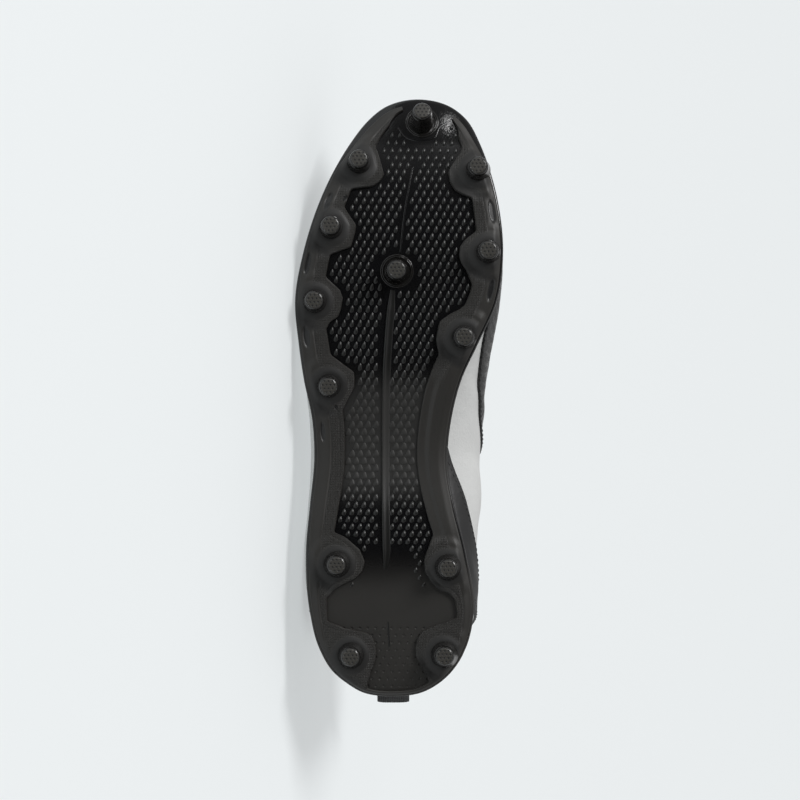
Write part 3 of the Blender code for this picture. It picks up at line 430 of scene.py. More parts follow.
def bumped(tree, height, distance, strength, under=None, invert=False):
    """The normal of a bump, on top of the normal of another one where it is given."""
    sockets = {"Height": height, "Distance": distance, "Strength": strength}
    if under is not None:
        sockets["Normal"] = under
    return node(tree, "ShaderNodeBump", sockets, invert=invert).outputs[0]


def sine(tree, value, pitch):
    """A wave of this pitch, from -1 to 1."""
    return maths(tree, "SINE", maths(tree, "MULTIPLY", value, 2 * math.pi / pitch))


def painted(tree, name):
    """The number that the mesh carries under this name."""
    return node(tree, "ShaderNodeAttribute", attribute_name=name).outputs["Fac"]


def object_place(tree):
    return node(tree, "ShaderNodeTexCoord").outputs["Object"]


def metres(tree):
    """The place in the piece's own UV map, which is in metres."""
    return node(tree, "ShaderNodeUVMap", uv_map="metres").outputs[0]


def split(tree, vector):
    return node(tree, "ShaderNodeSeparateXYZ", {0: vector}).outputs


def shoe_place(tree):
    """The place on the standing shoe, for a pattern that runs along the sole."""
    back = LYING.inverted()
    values = {"Vector": object_place(tree), "Location": back.to_translation(), "Rotation": back.to_euler()}
    return node(tree, "ShaderNodeMapping", values).outputs[0]


def wire(shader, **links):
    """Links results to the main shader's sockets, a space in a socket's name being written as _."""
    for socket, link in links.items():
        shader.id_data.links.new(link, shader.inputs[socket.replace("_", " ")])


def new_material(name, code, roughness, metallic=0.0, **sockets):
    """A material with its main shader, ready for more nodes."""
    made = bpy.data.materials.new(name)
    made.use_nodes = True
    shader = made.node_tree.nodes["Principled BSDF"]
    shader.inputs["Base Color"].default_value = linear(code)
    shader.inputs["Roughness"].default_value = roughness
    shader.inputs["Metallic"].default_value = metallic
    for socket, value in sockets.items():
        shader.inputs[socket.replace("_", " ")].default_value = value
    made.diffuse_color = linear(code)
    return made, made.node_tree, shader


# %% [markdown]
# Dots in staggered rows turn up all over this shoe: as pits in the tread, on the tips of the studs and
# as printed grip on the upper. One small tree works out, for a point on the surface, how near it is to
# the middle of its dot, from the two pitches of the pattern in metres.


# %% Dots in staggered rows
def dots(tree, place, pitch_x, pitch_y, radius, soft=0.35):
    """1 in the middle of each dot and 0 between them."""
    sides = split(tree, place)
    row = maths(tree, "MULTIPLY", sides[0], 1 / pitch_x)
    odd = maths(tree, "FLOORED_MODULO", maths(tree, "FLOOR", row), 2.0)
    column = maths(tree, "MULTIPLY", sides[1], 1 / pitch_y)
    moved = maths(tree, "MULTIPLY_ADD", odd, 0.5, column)
    cell = {0: maths(tree, "FRACT", row), 1: maths(tree, "FRACT", moved)}
    cell = node(tree, "ShaderNodeCombineXYZ", cell).outputs[0]
    off = vector_maths(tree, "SUBTRACT", cell, (0.5, 0.5, 0.0))
    far = vector_maths(tree, "LENGTH", vector_maths(tree, "MULTIPLY", off, (pitch_x, pitch_y, 0.0)))
    return smooth_step(tree, far, radius * (1 + soft), radius * (1 - soft))


# %% [markdown]
# ## Moulded TPU: the plate, its frame and the studs
# The outsole is injection-moulded TPU. Where the mould was polished the plastic comes out glossy black,
# and where it was spark-eroded it comes out matte and a little brown. TPU has an IOR of about 1.5. The
# plate is glossy under the forefoot, most of all at the toe, and matte in the waist and at the heel. The
# end of the heel has rows of small pits at the same pitch as the nubs.

# %% Colours and pitches of the tread
GLOSS_BLACK = "#0D0D0E"
MATTE_BLACK = "#1D1B18"
# Painted shade: the darker colour of the smooth flanks round the studs and of the hollows behind them
SHADED_FLANK_BLACK = "#11100F"
NUB_PITCH_ALONG = 0.0035
NUB_PITCH_ACROSS = 0.00386
KNURL_PITCH = 0.0008
PIT_RADIUS = 0.00055


def zone(tree, place, low, high, soft):
    """1 where the place along the sole is between the two, fading over a soft edge."""
    x = split(tree, place)[0]
    rise = smooth_step(tree, x, low - soft, low + soft)
    fall = smooth_step(tree, x, high - soft, high + soft, 1.0, 0.0)
    return maths(tree, "MULTIPLY", rise, fall)


# %% Plate
# Each zone: where along the sole it starts and ends, and how soft its edge is, all in metres
PITS_AT_HEEL = (-0.010, 0.034, 0.001)
MATTE_HEEL = (-0.050, 0.060, 0.014)
MATTE_WAIST = (0.098, 0.152, 0.012)
POLISHED_TOE = (0.268, 0.320, 0.002)
WAIST_BLACK = "#141311"


def plate_material():
    made, tree, shader = new_material("TPU moulded glossy black", GLOSS_BLACK, 0.2, IOR=1.5)
    place = shoe_place(tree)
    heel = zone(tree, place, *MATTE_HEEL)
    waist = zone(tree, place, *MATTE_WAIST)
    colour = blend(tree, heel, GLOSS_BLACK, MATTE_BLACK)
    colour = blend(tree, waist, colour, WAIST_BLACK)
    polished = ramp(tree, zone(tree, place, *POLISHED_TOE), 0.13, 0.04)
    rough = ramp(tree, maths(tree, "MAXIMUM", heel, waist), polished, 0.5)
    rough = maths(tree, "MULTIPLY_ADD", noise(tree, place, 90.0, 3.0), 0.06, rough)
    pits = dots(tree, place, NUB_PITCH_ALONG, NUB_PITCH_ACROSS, PIT_RADIUS)
    pits = maths(tree, "MULTIPLY", pits, zone(tree, place, *PITS_AT_HEEL))
    normal = bumped(tree, pits, 0.0004, 1.0, invert=True)
    normal = bumped(tree, noise(tree, place, 1400.0, 2.0), 0.00003, 0.5, normal)
    wire(shader, Base_Color=colour, Roughness=rough, Normal=normal)
    return made


def nub_material():
    """Satin where the nubs stand alone, and matte in the waist, where they are low and broad."""
    made, tree, shader = new_material("TPU moulded satin black", "#121211", 0.34, IOR=1.5)
    waist = zone(tree, shoe_place(tree), *MATTE_WAIST)
    colour = blend(tree, waist, "#111110", "#1B1A18")
    wire(shader, Base_Color=colour, Roughness=ramp(tree, waist, 0.32, 0.62))
    return made


PLATE_TPU = plate_material()
NUB_TPU = nub_material()


# %% [markdown]
# The frame is the matte ring that carries the studs. Its flat has a fine square knurl, about 0.8 mm from
# ridge to ridge, and its flanks round the studs are smoother, and painted darker as painted shade, as is
# the hollow behind each stud. The mesh itself says which is which: each point has a knurl value, a
# shaded flank value and a polish value, and the material reads them.


# %% Frame
def frame_material():
    made, tree, shader = new_material("TPU moulded matte brown-black", MATTE_BLACK, 0.5, IOR=1.5)
    place = shoe_place(tree)
    knurl, flank, polish = (painted(tree, name) for name in ("knurl", "flank", "polish"))
    # The smooth flanks and the hollows behind the studs are painted darker: painted shade
    colour = blend(tree, flank, MATTE_BLACK, SHADED_FLANK_BLACK)
    colour = blend(tree, polish, colour, GLOSS_BLACK)
    rough = ramp(tree, polish, ramp(tree, flank, 0.52, 0.58), 0.38)
    sides = split(tree, place)
    ridges = maths(tree, "MAXIMUM", *[sine(tree, sides[i], KNURL_PITCH) for i in (0, 1)])
    normal = bumped(tree, maths(tree, "MULTIPLY", ridges, knurl), 0.00018, 0.9)
    normal = bumped(tree, noise(tree, place, 1600.0, 3.0), 0.00004, 0.6, normal)
    wire(shader, Base_Color=colour, Roughness=rough, Normal=normal)
    return made


FRAME_TPU = frame_material()


# %% Studs
TIP_FROM = STUD_HEIGHT - 0.0003
TIP_TO = STUD_HEIGHT - 0.0001
TIP_PIT_PITCHES = (0.00175, 0.0019)
TIP_PIT_RADIUS = 0.00046


def stud_material():
    made, tree, shader = new_material("TPU moulded satin stud", "#2B2A29", 0.3, IOR=1.5)
    place = object_place(tree)
    tip = smooth_step(tree, split(tree, place)[2], TIP_FROM, TIP_TO)
    pits = maths(tree, "MULTIPLY", dots(tree, place, *TIP_PIT_PITCHES, TIP_PIT_RADIUS), tip)
    colour = blend(tree, tip, "#191817", "#32302C")
    # The pits on the tip's face are painted near black: painted shade in the pits
    colour = blend(tree, pits, colour, "#0A0A0A")
    normal = bumped(tree, pits, 0.0004, 1.0, invert=True)
    wire(shader, Base_Color=colour, Roughness=ramp(tree, tip, 0.15, 0.46), Normal=normal)
    return made


STUD_TPU = stud_material()

# %% [markdown]
# ## From points to pieces
# Nearly every surface of a shoe is a grid that is bent: rows up from the sole and columns round it. This
# function turns such a grid of points into a mesh with real sizes in its UV map, in metres, so that a
# weave or a grain keeps its scale. Another hangs the finished piece in the scene, at the shoe's place.


# %% Grids and pieces
def grid_mesh(name, grid, round_columns=False, round_rows=False, flip=False):
    """A mesh of quads over rows and columns of points, with its UV map in metres."""
    rows, columns = grid.shape[:2]
    index = np.arange(rows * columns).reshape(rows, columns)
    if round_columns:
        index = np.concatenate([index, index[:, :1]], axis=1)
    if round_rows:
        index = np.concatenate([index, index[:1]], axis=0)
    a, b, c, d = index[:-1, :-1], index[:-1, 1:], index[1:, 1:], index[1:, :-1]
    faces = np.stack([a, d, c, b] if flip else [a, b, c, d], axis=-1).reshape(-1, 4)
    mesh = bpy.data.meshes.new(name)
    mesh.from_pydata(grid.reshape(-1, 3).tolist(), [], faces.tolist())
    along = np.concatenate([grid, grid[:, :1]], axis=1) if round_columns else grid
    u = np.cumsum(np.linalg.norm(np.diff(along, axis=1), axis=2).mean(axis=0))
    u = np.concatenate([[0], u])
    upward = np.concatenate([grid, grid[:1]], axis=0) if round_rows else grid
    v = np.cumsum(np.linalg.norm(np.diff(upward, axis=0), axis=2).mean(axis=1))
    v = np.concatenate([[0], v])
    row, column = np.meshgrid(np.arange(index.shape[0] - 1), np.arange(index.shape[1] - 1), indexing="ij")
    corners = [(0, 0), (1, 0), (1, 1), (0, 1)] if flip else [(0, 0), (0, 1), (1, 1), (1, 0)]
    uv = [np.stack([u[column + j], v[row + i]], axis=-1).reshape(-1, 2) for i, j in corners]
    layer = mesh.uv_layers.new(name="metres")
    layer.data.foreach_set("uv", np.stack(uv, axis=1).astype(np.float32).ravel())
    mesh.shade_smooth()
    return mesh


def paint(mesh, **values):
    """Writes one number a point under each name, for the material to read."""
    for name, numbers in values.items():
        layer = mesh.attributes.new(name, "FLOAT", "POINT")
        layer.data.foreach_set("value", np.asarray(numbers, np.float32).ravel())


def lie_down(mesh):
    """Turns a mesh to where the shoe lies. Nothing sinks below the floor: what rests on it is flat."""
    mesh.transform(LYING)
    points = np.empty(len(mesh.vertices) * 3)
    mesh.vertices.foreach_get("co", points)
    points[2::3] = np.maximum(points[2::3], 0.0)
    mesh.vertices.foreach_set("co", points)
    mesh.update()


def hang(name, mesh, material, replaced=(), place=None):
    """Puts a piece in the scene at the shoe's place, riding on the one body."""
    made = bpy.data.objects.new(name, mesh)
    bpy.context.collection.objects.link(made)
    if place is None:
        lie_down(mesh)
    else:
        made.matrix_world = LYING @ place
    if not mesh.materials:
        mesh.materials.append(material)
    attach(made, "root")
    if replaced:
        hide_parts(*replaced)
    return made


def joined(name, patches):
    """One mesh of many small grids, each an array of rows and columns of points."""
    points = []
    faces = []
    start = 0
    for patch in patches:
        rows, columns = patch.shape[:2]
        index = np.arange(rows * columns).reshape(rows, columns) + start
        quads = [index[:-1, :-1], index[:-1, 1:], index[1:, 1:], index[1:, :-1]]
        faces.append(np.stack(quads, axis=-1).reshape(-1, 4))
        points.append(patch.reshape(-1, 3))
        start += rows * columns
    mesh = bpy.data.meshes.new(name)
    mesh.from_pydata(np.concatenate(points).tolist(), [], np.concatenate(faces).tolist())
    mesh.shade_smooth()
    return mesh


# %% [markdown]
# ## The plate
# The plate is a shallow tray. Its section runs from the middle out over the ground side, round the edge,
# up the rim and back down inside. The rim has the small step that a mould's parting line leaves half way
# up. The same section goes round the whole outline, so the plate is one closed skin.

# %% Plate
EDGE_ROUND = 0.0012
PLATE_STATIONS = 400
STEP_DEPTH = 0.00035
STEP_AT = 0.55
FLOOR_SHARES = (0.0, 0.25, 0.5, 0.75, 0.9, 0.97)


def build_plate():
    turns = np.linspace(0, 2, PLATE_STATIONS, endpoint=False)
    top = rim_height(turns)
    rings = [inner_point(turns, share, EDGE_ROUND, 0.0) for share in FLOOR_SHARES]
    for angle in np.linspace(0, math.pi / 2, 6):
        inset, above = EDGE_ROUND * (1 - math.sin(angle)), EDGE_ROUND * (1 - math.cos(angle))
        rings.append(edge_point(turns, inset, above))
    step = EDGE_ROUND + (top - EDGE_ROUND) * STEP_AT
    for height, inset in ((0.92, 0.0), (0.98, 0.4), (1.02, 1.0)):
        rings.append(edge_point(turns, STEP_DEPTH * inset, step * height))
    half = (RIM_THICKNESS - STEP_DEPTH) / 2
    middle = STEP_DEPTH + half
    for angle in np.linspace(0, math.pi, 7):
        inset, above = middle - half * math.cos(angle), top - half + half * math.sin(angle)
        rings.append(edge_point(turns, inset, above))
    rings.append(edge_point(turns, RIM_THICKNESS, PLATE_THICKNESS))
    rings += [inner_point(turns, share, RIM_THICKNESS, PLATE_THICKNESS) for share in (0.6, 0.0)]
    mesh = grid_mesh("outsole_plate_skin", np.array(rings), round_columns=True)
    return hang("outsole_plate_skin", mesh, PLATE_TPU, ["outsole_plate"])


PLATE = build_plate()
print("plate:", len(PLATE.data.polygons), "faces")

# %% [markdown]
# ## The frame and its pods
# The frame runs from one arm beside the toe stud, round the heel, to the other. Between studs it is a
# band with a sloping outer half and a flat, knurled inner half. Round each stud it swells to a pod with
# straight sides, whose flat rises a little to the stud's foot. Each point of the grid asks three things:
# how far it is in from the outer edge, how far it is from the inner edge and how far it is from the
# nearest stud. Its height and its finish follow from those. Behind each stud the pod has a smooth hollow,
# which is painted darker as painted shade, as is the smooth foot round the stud.

# %% Frame
Band = namedtuple("Band", "along lateral medial")
FRAME_BAND = (
    Band(0.000, 0.030, 0.030),
    Band(0.080, 0.060, 0.060),
    Band(0.150, 0.088, 0.088),
    Band(0.250, 0.125, 0.125),
    Band(0.350, 0.145, 0.145),
    Band(0.500, 0.155, 0.155),
    Band(0.620, 0.140, 0.140),
    Band(0.850, 0.122, 0.122),
    Band(0.950, 0.110, 0.085),
    Band(0.980, 0.090, 0.052),
    Band(0.997, 0.052, 0.050),
)
# The inner corners of each pod in millimetres from its stud: towards the toe, and towards medial
POD_CORNERS = {
    "stud_lateral_1": (
        (10.6, 9.2), (8.2, 7.7), (5.3, 9.2), (-3.4, 11.6), (-5.3, 12.1), (-8.2, 10.6), (-11.1, 6.8),
        (-12.5, -3.4), (-14.0, -4.8),
    ),
    "stud_lateral_2": (
        (11.6, 6.3), (10.1, 6.3), (1.4, 12.1), (-2.4, 11.6), (-9.2, 9.6), (-11.1, 4.3),
        (-13.0, -0.5), (-16.4, -1.4),
    ),
    "stud_lateral_3": (
        (11.1, 5.8), (5.3, 12.1), (1.4, 13.5), (-4.3, 12.5), (-7.7, 11.1), (-10.1, 7.2),
        (-13.0, 5.8),
    ),
    "stud_lateral_4": (
        (14.5, 1.0), (6.3, 12.1), (2.4, 12.5), (-1.4, 12.1), (-6.3, 9.6), (-11.1, 7.2),
    ),
    "stud_heel_lateral_front": (
        (14.5, 1.9), (11.1, 6.3), (6.8, 11.1), (1.0, 13.5), (-3.9, 12.1), (-6.8, 9.2), (-9.2, 3.9),
        (-12.1, -1.0), (-15.4, -3.4),
    ),
    "stud_heel_lateral_rear": (
        (15.9, -10.1), (13.0, -2.9), (11.6, 4.3), (10.6, 8.2), (7.7, 11.1), (1.4, 12.5),
        (-3.4, 11.6), (-8.2, 8.2),
    ),
    "stud_heel_medial_rear": (
        (-1.9, -13.5), (2.9, -14.0), (7.7, -13.0), (11.1, -10.6), (13.0, -6.8), (14.5, -2.9),
        (15.4, 1.4), (17.4, 4.3),
    ),
    "stud_heel_medial_front": (
        (-15.9, 3.4), (-12.5, 0.5), (-11.1, -3.9), (-7.7, -7.7), (-2.4, -11.1), (3.4, -11.6),
        (9.2, -9.6), (16.4, -6.8),
    ),
    "stud_medial_3": (
        (-13.0, -11.6), (-8.7, -12.1), (-1.4, -13.5), (4.8, -12.5), (7.7, -11.6), (11.1, -6.8),
        (13.5, -1.9), (16.4, 1.4),
    ),
    "stud_medial_2": (
        (-15.9, -7.7), (-8.7, -10.6), (-5.3, -13.0), (-1.9, -14.0), (2.4, -13.5), (5.8, -11.1),
        (10.6, -4.8), (13.0, -4.3),
    ),
    "stud_medial_1": (
        (-15.9, -1.0), (-13.5, -2.9), (-11.6, -7.7), (-9.6, -11.1), (-5.8, -13.5), (-1.0, -14.5),
        (1.4, -13.5), (9.2, -8.2), (11.1, -7.7), (15.9, -9.6),
    ),
}
FRAME_LATERAL_TIP = 0.9965
FRAME_MEDIAL_TIP = 0.979
FRAME_INSET = 0.0012
FRAME_TOE_INSET = 0.0032
POD_REACH = 0.0140
POD_RISE = 0.0005
POD_FACET = 0.0034
FOOT_OUTER = 0.0108
FOOT_INNER = 0.0064
FOOT_RISE = 0.0008
HOLLOW_DEPTH = 0.0006
FRAME_STATIONS = 1500
FRAME_COLUMNS = 44
INNER_ROUND = 0.0007
SLOPE_SHARE = 0.48
OUTER_SHARE = 0.35
GROOVE_DEPTH = 0.0003
GROOVE_WIDTH = 0.00045
WAIST_LINE = 0.0023
WAIST_LINE_DEPTH = 0.00021
ARM_LINES = (0.0028, 0.0052)
ARM_LINE_HEIGHT = 0.00035
INNER_DROP = 0.0008
OUTER_ROUND = 0.0006
OUTER_DROP = 0.0004
LOWEST = 0.0002
TUCK = 0.0001
LONGEST_REACH = 0.045
SMOOTHINGS = 3

# Shallow dark windows in the frame's slope between the pods, and small notches where a pod ends
Window = namedtuple("Window", "side along inset half_length half_width")
WINDOWS = (
    Window(LATERAL, 0.834, 0.0042, 0.0050, 0.0016),
    Window(LATERAL, 0.728, 0.0034, 0.0055, 0.0014),
    Window(LATERAL, 0.601, 0.0042, 0.0055, 0.0016),
    Window(LATERAL, 0.443, 0.0046, 0.0050, 0.0012),
    Window(MEDIAL, 0.815, 0.0040, 0.0058, 0.0016),
    Window(MEDIAL, 0.680, 0.0042, 0.0060, 0.0016),
    Window(LATERAL, 0.850, 0.0112, 0.0016, 0.0009),
    Window(MEDIAL, 0.840, 0.0140, 0.0020, 0.0009),
    Window(LATERAL, 0.478, 0.0125, 0.0012, 0.0008),
)
WINDOW_DEPTH = 0.0006


def band_width(turn):
    along = edge_plan(turn)[..., 0] / SOLE_LENGTH
    places = [b.along for b in FRAME_BAND]
    lateral = np.interp(along, places, [b.lateral for b in FRAME_BAND])
    medial = np.interp(along, places, [b.medial for b in FRAME_BAND])
    return np.where(turn % 2 < 1, medial, lateral) * BALL_WIDTH


def cross(a, b):
    return a[..., 0] * b[..., 1] - a[..., 1] * b[..., 0]


def reach_to(edge, inward, start, end):
    """How far each line inwards from the edge runs before it meets a side of a pod, or 0."""
    side = end - start
    across = cross(inward, side)
    across = np.where(np.abs(across) < 1e-9, 1e-9, across)
    depth = cross(start - edge, side) / across
    share = cross(start - edge, inward) / across
    met = (share >= 0) & (share <= 1) & (depth > 0) & (depth < LONGEST_REACH)
    return np.where(met, depth, 0.0)


def frame_width(turn):
    """How far in from the sole's edge the frame reaches: its band, or the corners of its pods."""
    edge = edge_plan(turn)
    inward = -edge_outward(turn)
    width = band_width(turn)
    for stud in STUDS:
        if stud.name not in POD_CORNERS:
            continue
        corners = np.array(POD_CORNERS[stud.name]) / 1000
        corners += (stud.along * SOLE_LENGTH, stud.across * BALL_WIDTH)
        same_side = (stud.across > 0) == (turn % 2 < 1)
        for start, end in zip(corners[:-1], corners[1:]):
            width = np.maximum(width, np.where(same_side, reach_to(edge, inward, start, end), 0.0))
    for _ in range(SMOOTHINGS):
        width[1:-1] = (width[:-2] + 2 * width[1:-1] + width[2:]) / 4
    return width


def distance_to(points, line):
    """How far each point in plan is from the nearest point of a line, which has many points."""
    tree = KDTree(len(line))
    for i, (x, y) in enumerate(line):
        tree.insert((x, y, 0), i)
    tree.balance()
    return np.array([tree.find((x, y, 0))[2] for x, y in points.reshape(-1, 2)]).reshape(points.shape[:-1])


def from_nearest_stud(points):
    """How far each point in plan is from its stud, and how far of that towards the heel and lateral."""
    centres = np.array([(s.along * SOLE_LENGTH, s.across * BALL_WIDTH) for s in STUDS if s.on_frame])
    off = points[..., None, :] - centres
    far = np.linalg.norm(off, axis=-1)
    nearest = far.argmin(axis=-1)[..., None, None]
    chosen = np.take_along_axis(off, nearest, axis=-2)[..., 0, :]
    return far.min(axis=-1), -(chosen[..., 0] + chosen[..., 1]) / math.sqrt(2)


def window_at(points):
    """1 in the middle of a window and 0 outside them all."""
    found = np.zeros(points.shape[:-1])
    for w in WINDOWS:
        turn = turn_at(w.side, w.along)
        out = edge_outward(turn)
        off = points - (edge_plan(turn) - out * w.inset)
        across = off @ out
        along = off @ np.array([-out[1], out[0]])
        far = np.hypot(along / w.half_length, across / w.half_width)
        found = np.maximum(found, 1 - ease(share_between(far, 0.75, 1.1)))
    return found


def groove(distance, width):
    return np.exp(-((distance / width) ** 2))


FRAME_START = float(turn_at(LATERAL, FRAME_LATERAL_TIP))
FRAME_END = float(turn_at(MEDIAL, FRAME_MEDIAL_TIP)) + 2
FRAME_TURNS = np.linspace(FRAME_START, FRAME_END, FRAME_STATIONS)
FRAME_WIDTHS = frame_width(FRAME_TURNS)
INNER_EDGE = edge_plan(FRAME_TURNS) - edge_outward(FRAME_TURNS) * FRAME_WIDTHS[:, None]


def build_frame():
    along = (edge_plan(FRAME_TURNS)[:, 0] / SOLE_LENGTH)[:, None]
    medial = (FRAME_TURNS % 2 < 1)[:, None]
    lip = FRAME_INSET + (FRAME_TOE_INSET - FRAME_INSET) * ease(share_between(along[:, 0], 0.88, 0.97))
    share = np.linspace(0, 1, FRAME_COLUMNS) ** 0.9
    inset = lip[:, None] + (FRAME_WIDTHS - lip)[:, None] * share
    plan = edge_plan(FRAME_TURNS)[:, None] - edge_outward(FRAME_TURNS)[:, None] * inset[..., None]
    from_inner = distance_to(plan, INNER_EDGE)
    from_outer = inset - lip[:, None]
    from_stud, behind = from_nearest_stud(plan)
    band = band_width(FRAME_TURNS)[:, None] * SLOPE_SHARE
    slope = OUTER_SHARE + (1 - OUTER_SHARE) * ease(from_outer / band)
    near_pod = ease(share_between(from_stud, POD_REACH + 0.002, POD_REACH - 0.003))
    facet = ease(share_between(from_inner, 0.0003, POD_FACET))
    facet = facet * ease(share_between(from_outer, 0.0, POD_FACET))
    foot = ease(share_between(from_stud, FOOT_OUTER, FOOT_INNER)) * facet
    height = FRAME_THICKNESS * (slope + (1 - slope) * near_pod * ease(from_outer / 0.0035))
    height -= GROOVE_DEPTH * groove(from_outer - band, GROOVE_WIDTH) * (1 - near_pod)
    # The medial waist is the other way round: a low smooth valley inside, and a raised band outside it
    valley = medial * ease(share_between(along, 0.24, 0.29)) * ease(share_between(along, 0.56, 0.50))
    valley = valley * (1 - near_pod)
    raised = 0.50 + 0.50 * ease(share_between(from_inner, 0.0034, 0.0062))
    raised = raised * (0.55 + 0.45 * ease(from_outer / 0.0040))
    height += valley * (FRAME_THICKNESS * raised - height)
    height += POD_RISE * facet * near_pod + FOOT_RISE * foot
    hollow = ease(share_between(behind, 0.0032, 0.0105)) * ease(share_between(from_stud, 0.0165, 0.0120))
    height -= HOLLOW_DEPTH * hollow * facet
    lateral_waist = share_between(along, 0.52, 0.46) * share_between(along, 0.08, 0.12) * (1 - valley)
    height -= WAIST_LINE_DEPTH * groove(from_inner - WAIST_LINE, GROOVE_WIDTH) * lateral_waist
    arm = medial * ease(share_between(along, 0.885, 0.90))
    for line in ARM_LINES:
        height += ARM_LINE_HEIGHT * groove(from_outer - line, GROOVE_WIDTH) * arm * (1 - near_pod)
    window = window_at(plan)
    height -= WINDOW_DEPTH * window
    height -= INNER_DROP * (1 - np.sqrt(1 - share_between(from_inner, INNER_ROUND, 0) ** 2))
    height -= OUTER_DROP * (1 - np.sqrt(1 - share_between(from_outer, OUTER_ROUND, 0) ** 2))
    knurl = ease(share_between(from_outer, band * 0.95, band * 1.1)) * (from_inner > 0.0004)
    knurl = knurl * (1 - ease(foot * 2)) * (1 - valley) * (1 - hollow)
    face = on_base(plan[..., 0], plan[..., 1], -(GAP + np.maximum(height, LOWEST)))
    outer = edge_point(FRAME_TURNS, lip, -TUCK)[:, None]
    inner = edge_point(FRAME_TURNS, FRAME_WIDTHS, -TUCK)[:, None]
    grid = np.concatenate([outer, face, inner], axis=1)
    mesh = grid_mesh("outsole_frame_skin", grid, flip=True)
    pad = ((0, 0), (1, 1))
    # The shaded flank value paints the smooth feet and the hollows behind the studs darker, as painted
    # shade
    paint(
        mesh,
        knurl=np.pad(knurl, pad),
        flank=np.pad(np.maximum(ease(foot * 1.5), hollow), pad),
        polish=np.pad(window, pad),
    )
    return hang("outsole_frame_skin", mesh, FRAME_TPU, ["outsole_frame"])


FRAME = build_frame()
print("frame:", len(FRAME.data.polygons), "faces")

# %% [markdown]
# ## Studs
# A moulded stud is a turned shape: a flared foot, a tapered shank, a thin dark groove where the mould's
# insert met it, and a tip with a round polished shoulder and a small flat, pitted face. The profile is
# turned in 56 steps. The two studs that stand on the plate have thin raised rings round the foot. Those
# at the sides lean only half as much as the sole does where it springs up, to grip straight down.

# %% Studs
STUD_RADIUS = 0.0053
STUD_TIP_RADIUS = 0.0042
HEEL_STUD_RADIUS = 0.0060
HEEL_STUD_TIP_RADIUS = 0.0049
STUD_GROOVE = 0.0004
SHOULDER_FALL = 0.0013
FLAT_RADIUS = 0.0029
SHOULDER_RADIUS = 0.0045
STUD_FLARE = 0.0003
STUD_SEGMENTS = 56
RING_RADIUS = 0.0004
SHANK_FROM = 0.0021
# Below the shoulder, in steps out from it and down: the groove, and the top of the shank
NECK = ((0.0, 0.0005), (-STUD_GROOVE, 0.0007), (-STUD_GROOVE, 0.0012), (0.0003, 0.0014), (0.0004, 0.0018))
RINGS = (0.0069, 0.0077)
SIDE_LEAN = 0.5


def stud_profile(radius, tip_radius, foot, ringed):
    """Radius and height from the middle of the tip down to the foot."""
    flat = min(FLAT_RADIUS, tip_radius)
    shoulder = SHOULDER_RADIUS
    top = STUD_HEIGHT
    points = [(0.0, top), (flat * 0.5, top), (flat, top)]
    for angle in np.linspace(math.pi / 2, 0, 11)[1:]:
        out = flat + (shoulder - flat) * math.cos(angle)
        points.append((out, top - SHOULDER_FALL * (1 - math.sin(angle))))
    low = top - SHOULDER_FALL
    points += [(shoulder + out, low - down) for out, down in NECK]
    shank = low - SHANK_FROM
    for share in np.linspace(0.12, 1.0, 9):
        taper = shoulder + NECK[-1][0] + (radius - shoulder) * share
        points.append((taper + STUD_FLARE * share**3.2, shank - (shank - foot) * share))
    if ringed:
        for ring in RINGS:
            for angle in np.linspace(math.pi, 0, 7):
                points.append((ring + RING_RADIUS * math.cos(angle), foot + RING_RADIUS * math.sin(angle)))
    points.append((points[-1][0] + 0.0002, foot - 0.0006))
    return np.array(points)


def stud_mesh(name, radius, tip_radius, foot, ringed):
    profile = stud_profile(radius, tip_radius, foot, ringed)
    angles = np.linspace(0, 2 * math.pi, STUD_SEGMENTS, endpoint=False)
    grid = np.empty((len(profile), STUD_SEGMENTS, 3))
    grid[..., 0] = profile[:, :1] * np.cos(angles)
    grid[..., 1] = profile[:, :1] * np.sin(angles)
    grid[..., 2] = profile[:, 1:]
    mesh = grid_mesh(name, grid, round_columns=True, flip=True)
    mesh.set_sharp_from_angle(angle=math.radians(40))
    return mesh


def build_studs():
    meshes = {
        (False, True): stud_mesh("stud_forefoot", STUD_RADIUS, STUD_TIP_RADIUS, 0.0002, False),
        (False, False): stud_mesh("stud_on_plate", STUD_RADIUS, STUD_TIP_RADIUS, -FRAME_DROP, True),
        (True, True): stud_mesh("stud_heel", HEEL_STUD_RADIUS, HEEL_STUD_TIP_RADIUS, 0.0002, False),
    }
    for stud in STUDS:
        x = stud.along * SOLE_LENGTH
        foot = Matrix.Translation(Vector(on_base(x, stud.across * BALL_WIDTH, -FRAME_DROP)))
        share = SIDE_LEAN if stud.on_frame else 1.0
        lean = Matrix.Rotation(-float(base_slope(x)) * share, 4, "Y") @ Matrix.Rotation(math.pi, 4, "X")
        mesh = meshes[stud.heel, stud.on_frame]
        hang(stud.name + "_turned", mesh, STUD_TPU, [stud.name], foot @ lean)


build_studs()
print("studs:", len(STUDS))

# %% [markdown]
# ## Nubs
# Between the arms of the frame the tread is a field of small raised drops in staggered rows, 3.9 mm apart
# across the sole and 3.5 mm along it. Each is narrow towards the toe and widens towards the heel. Their
# size changes along the sole: short at the toe, long at the ball, and low and so broad in the waist that
# they nearly touch. They keep clear of the spine, of the smooth toe and of the bare panel at the heel.

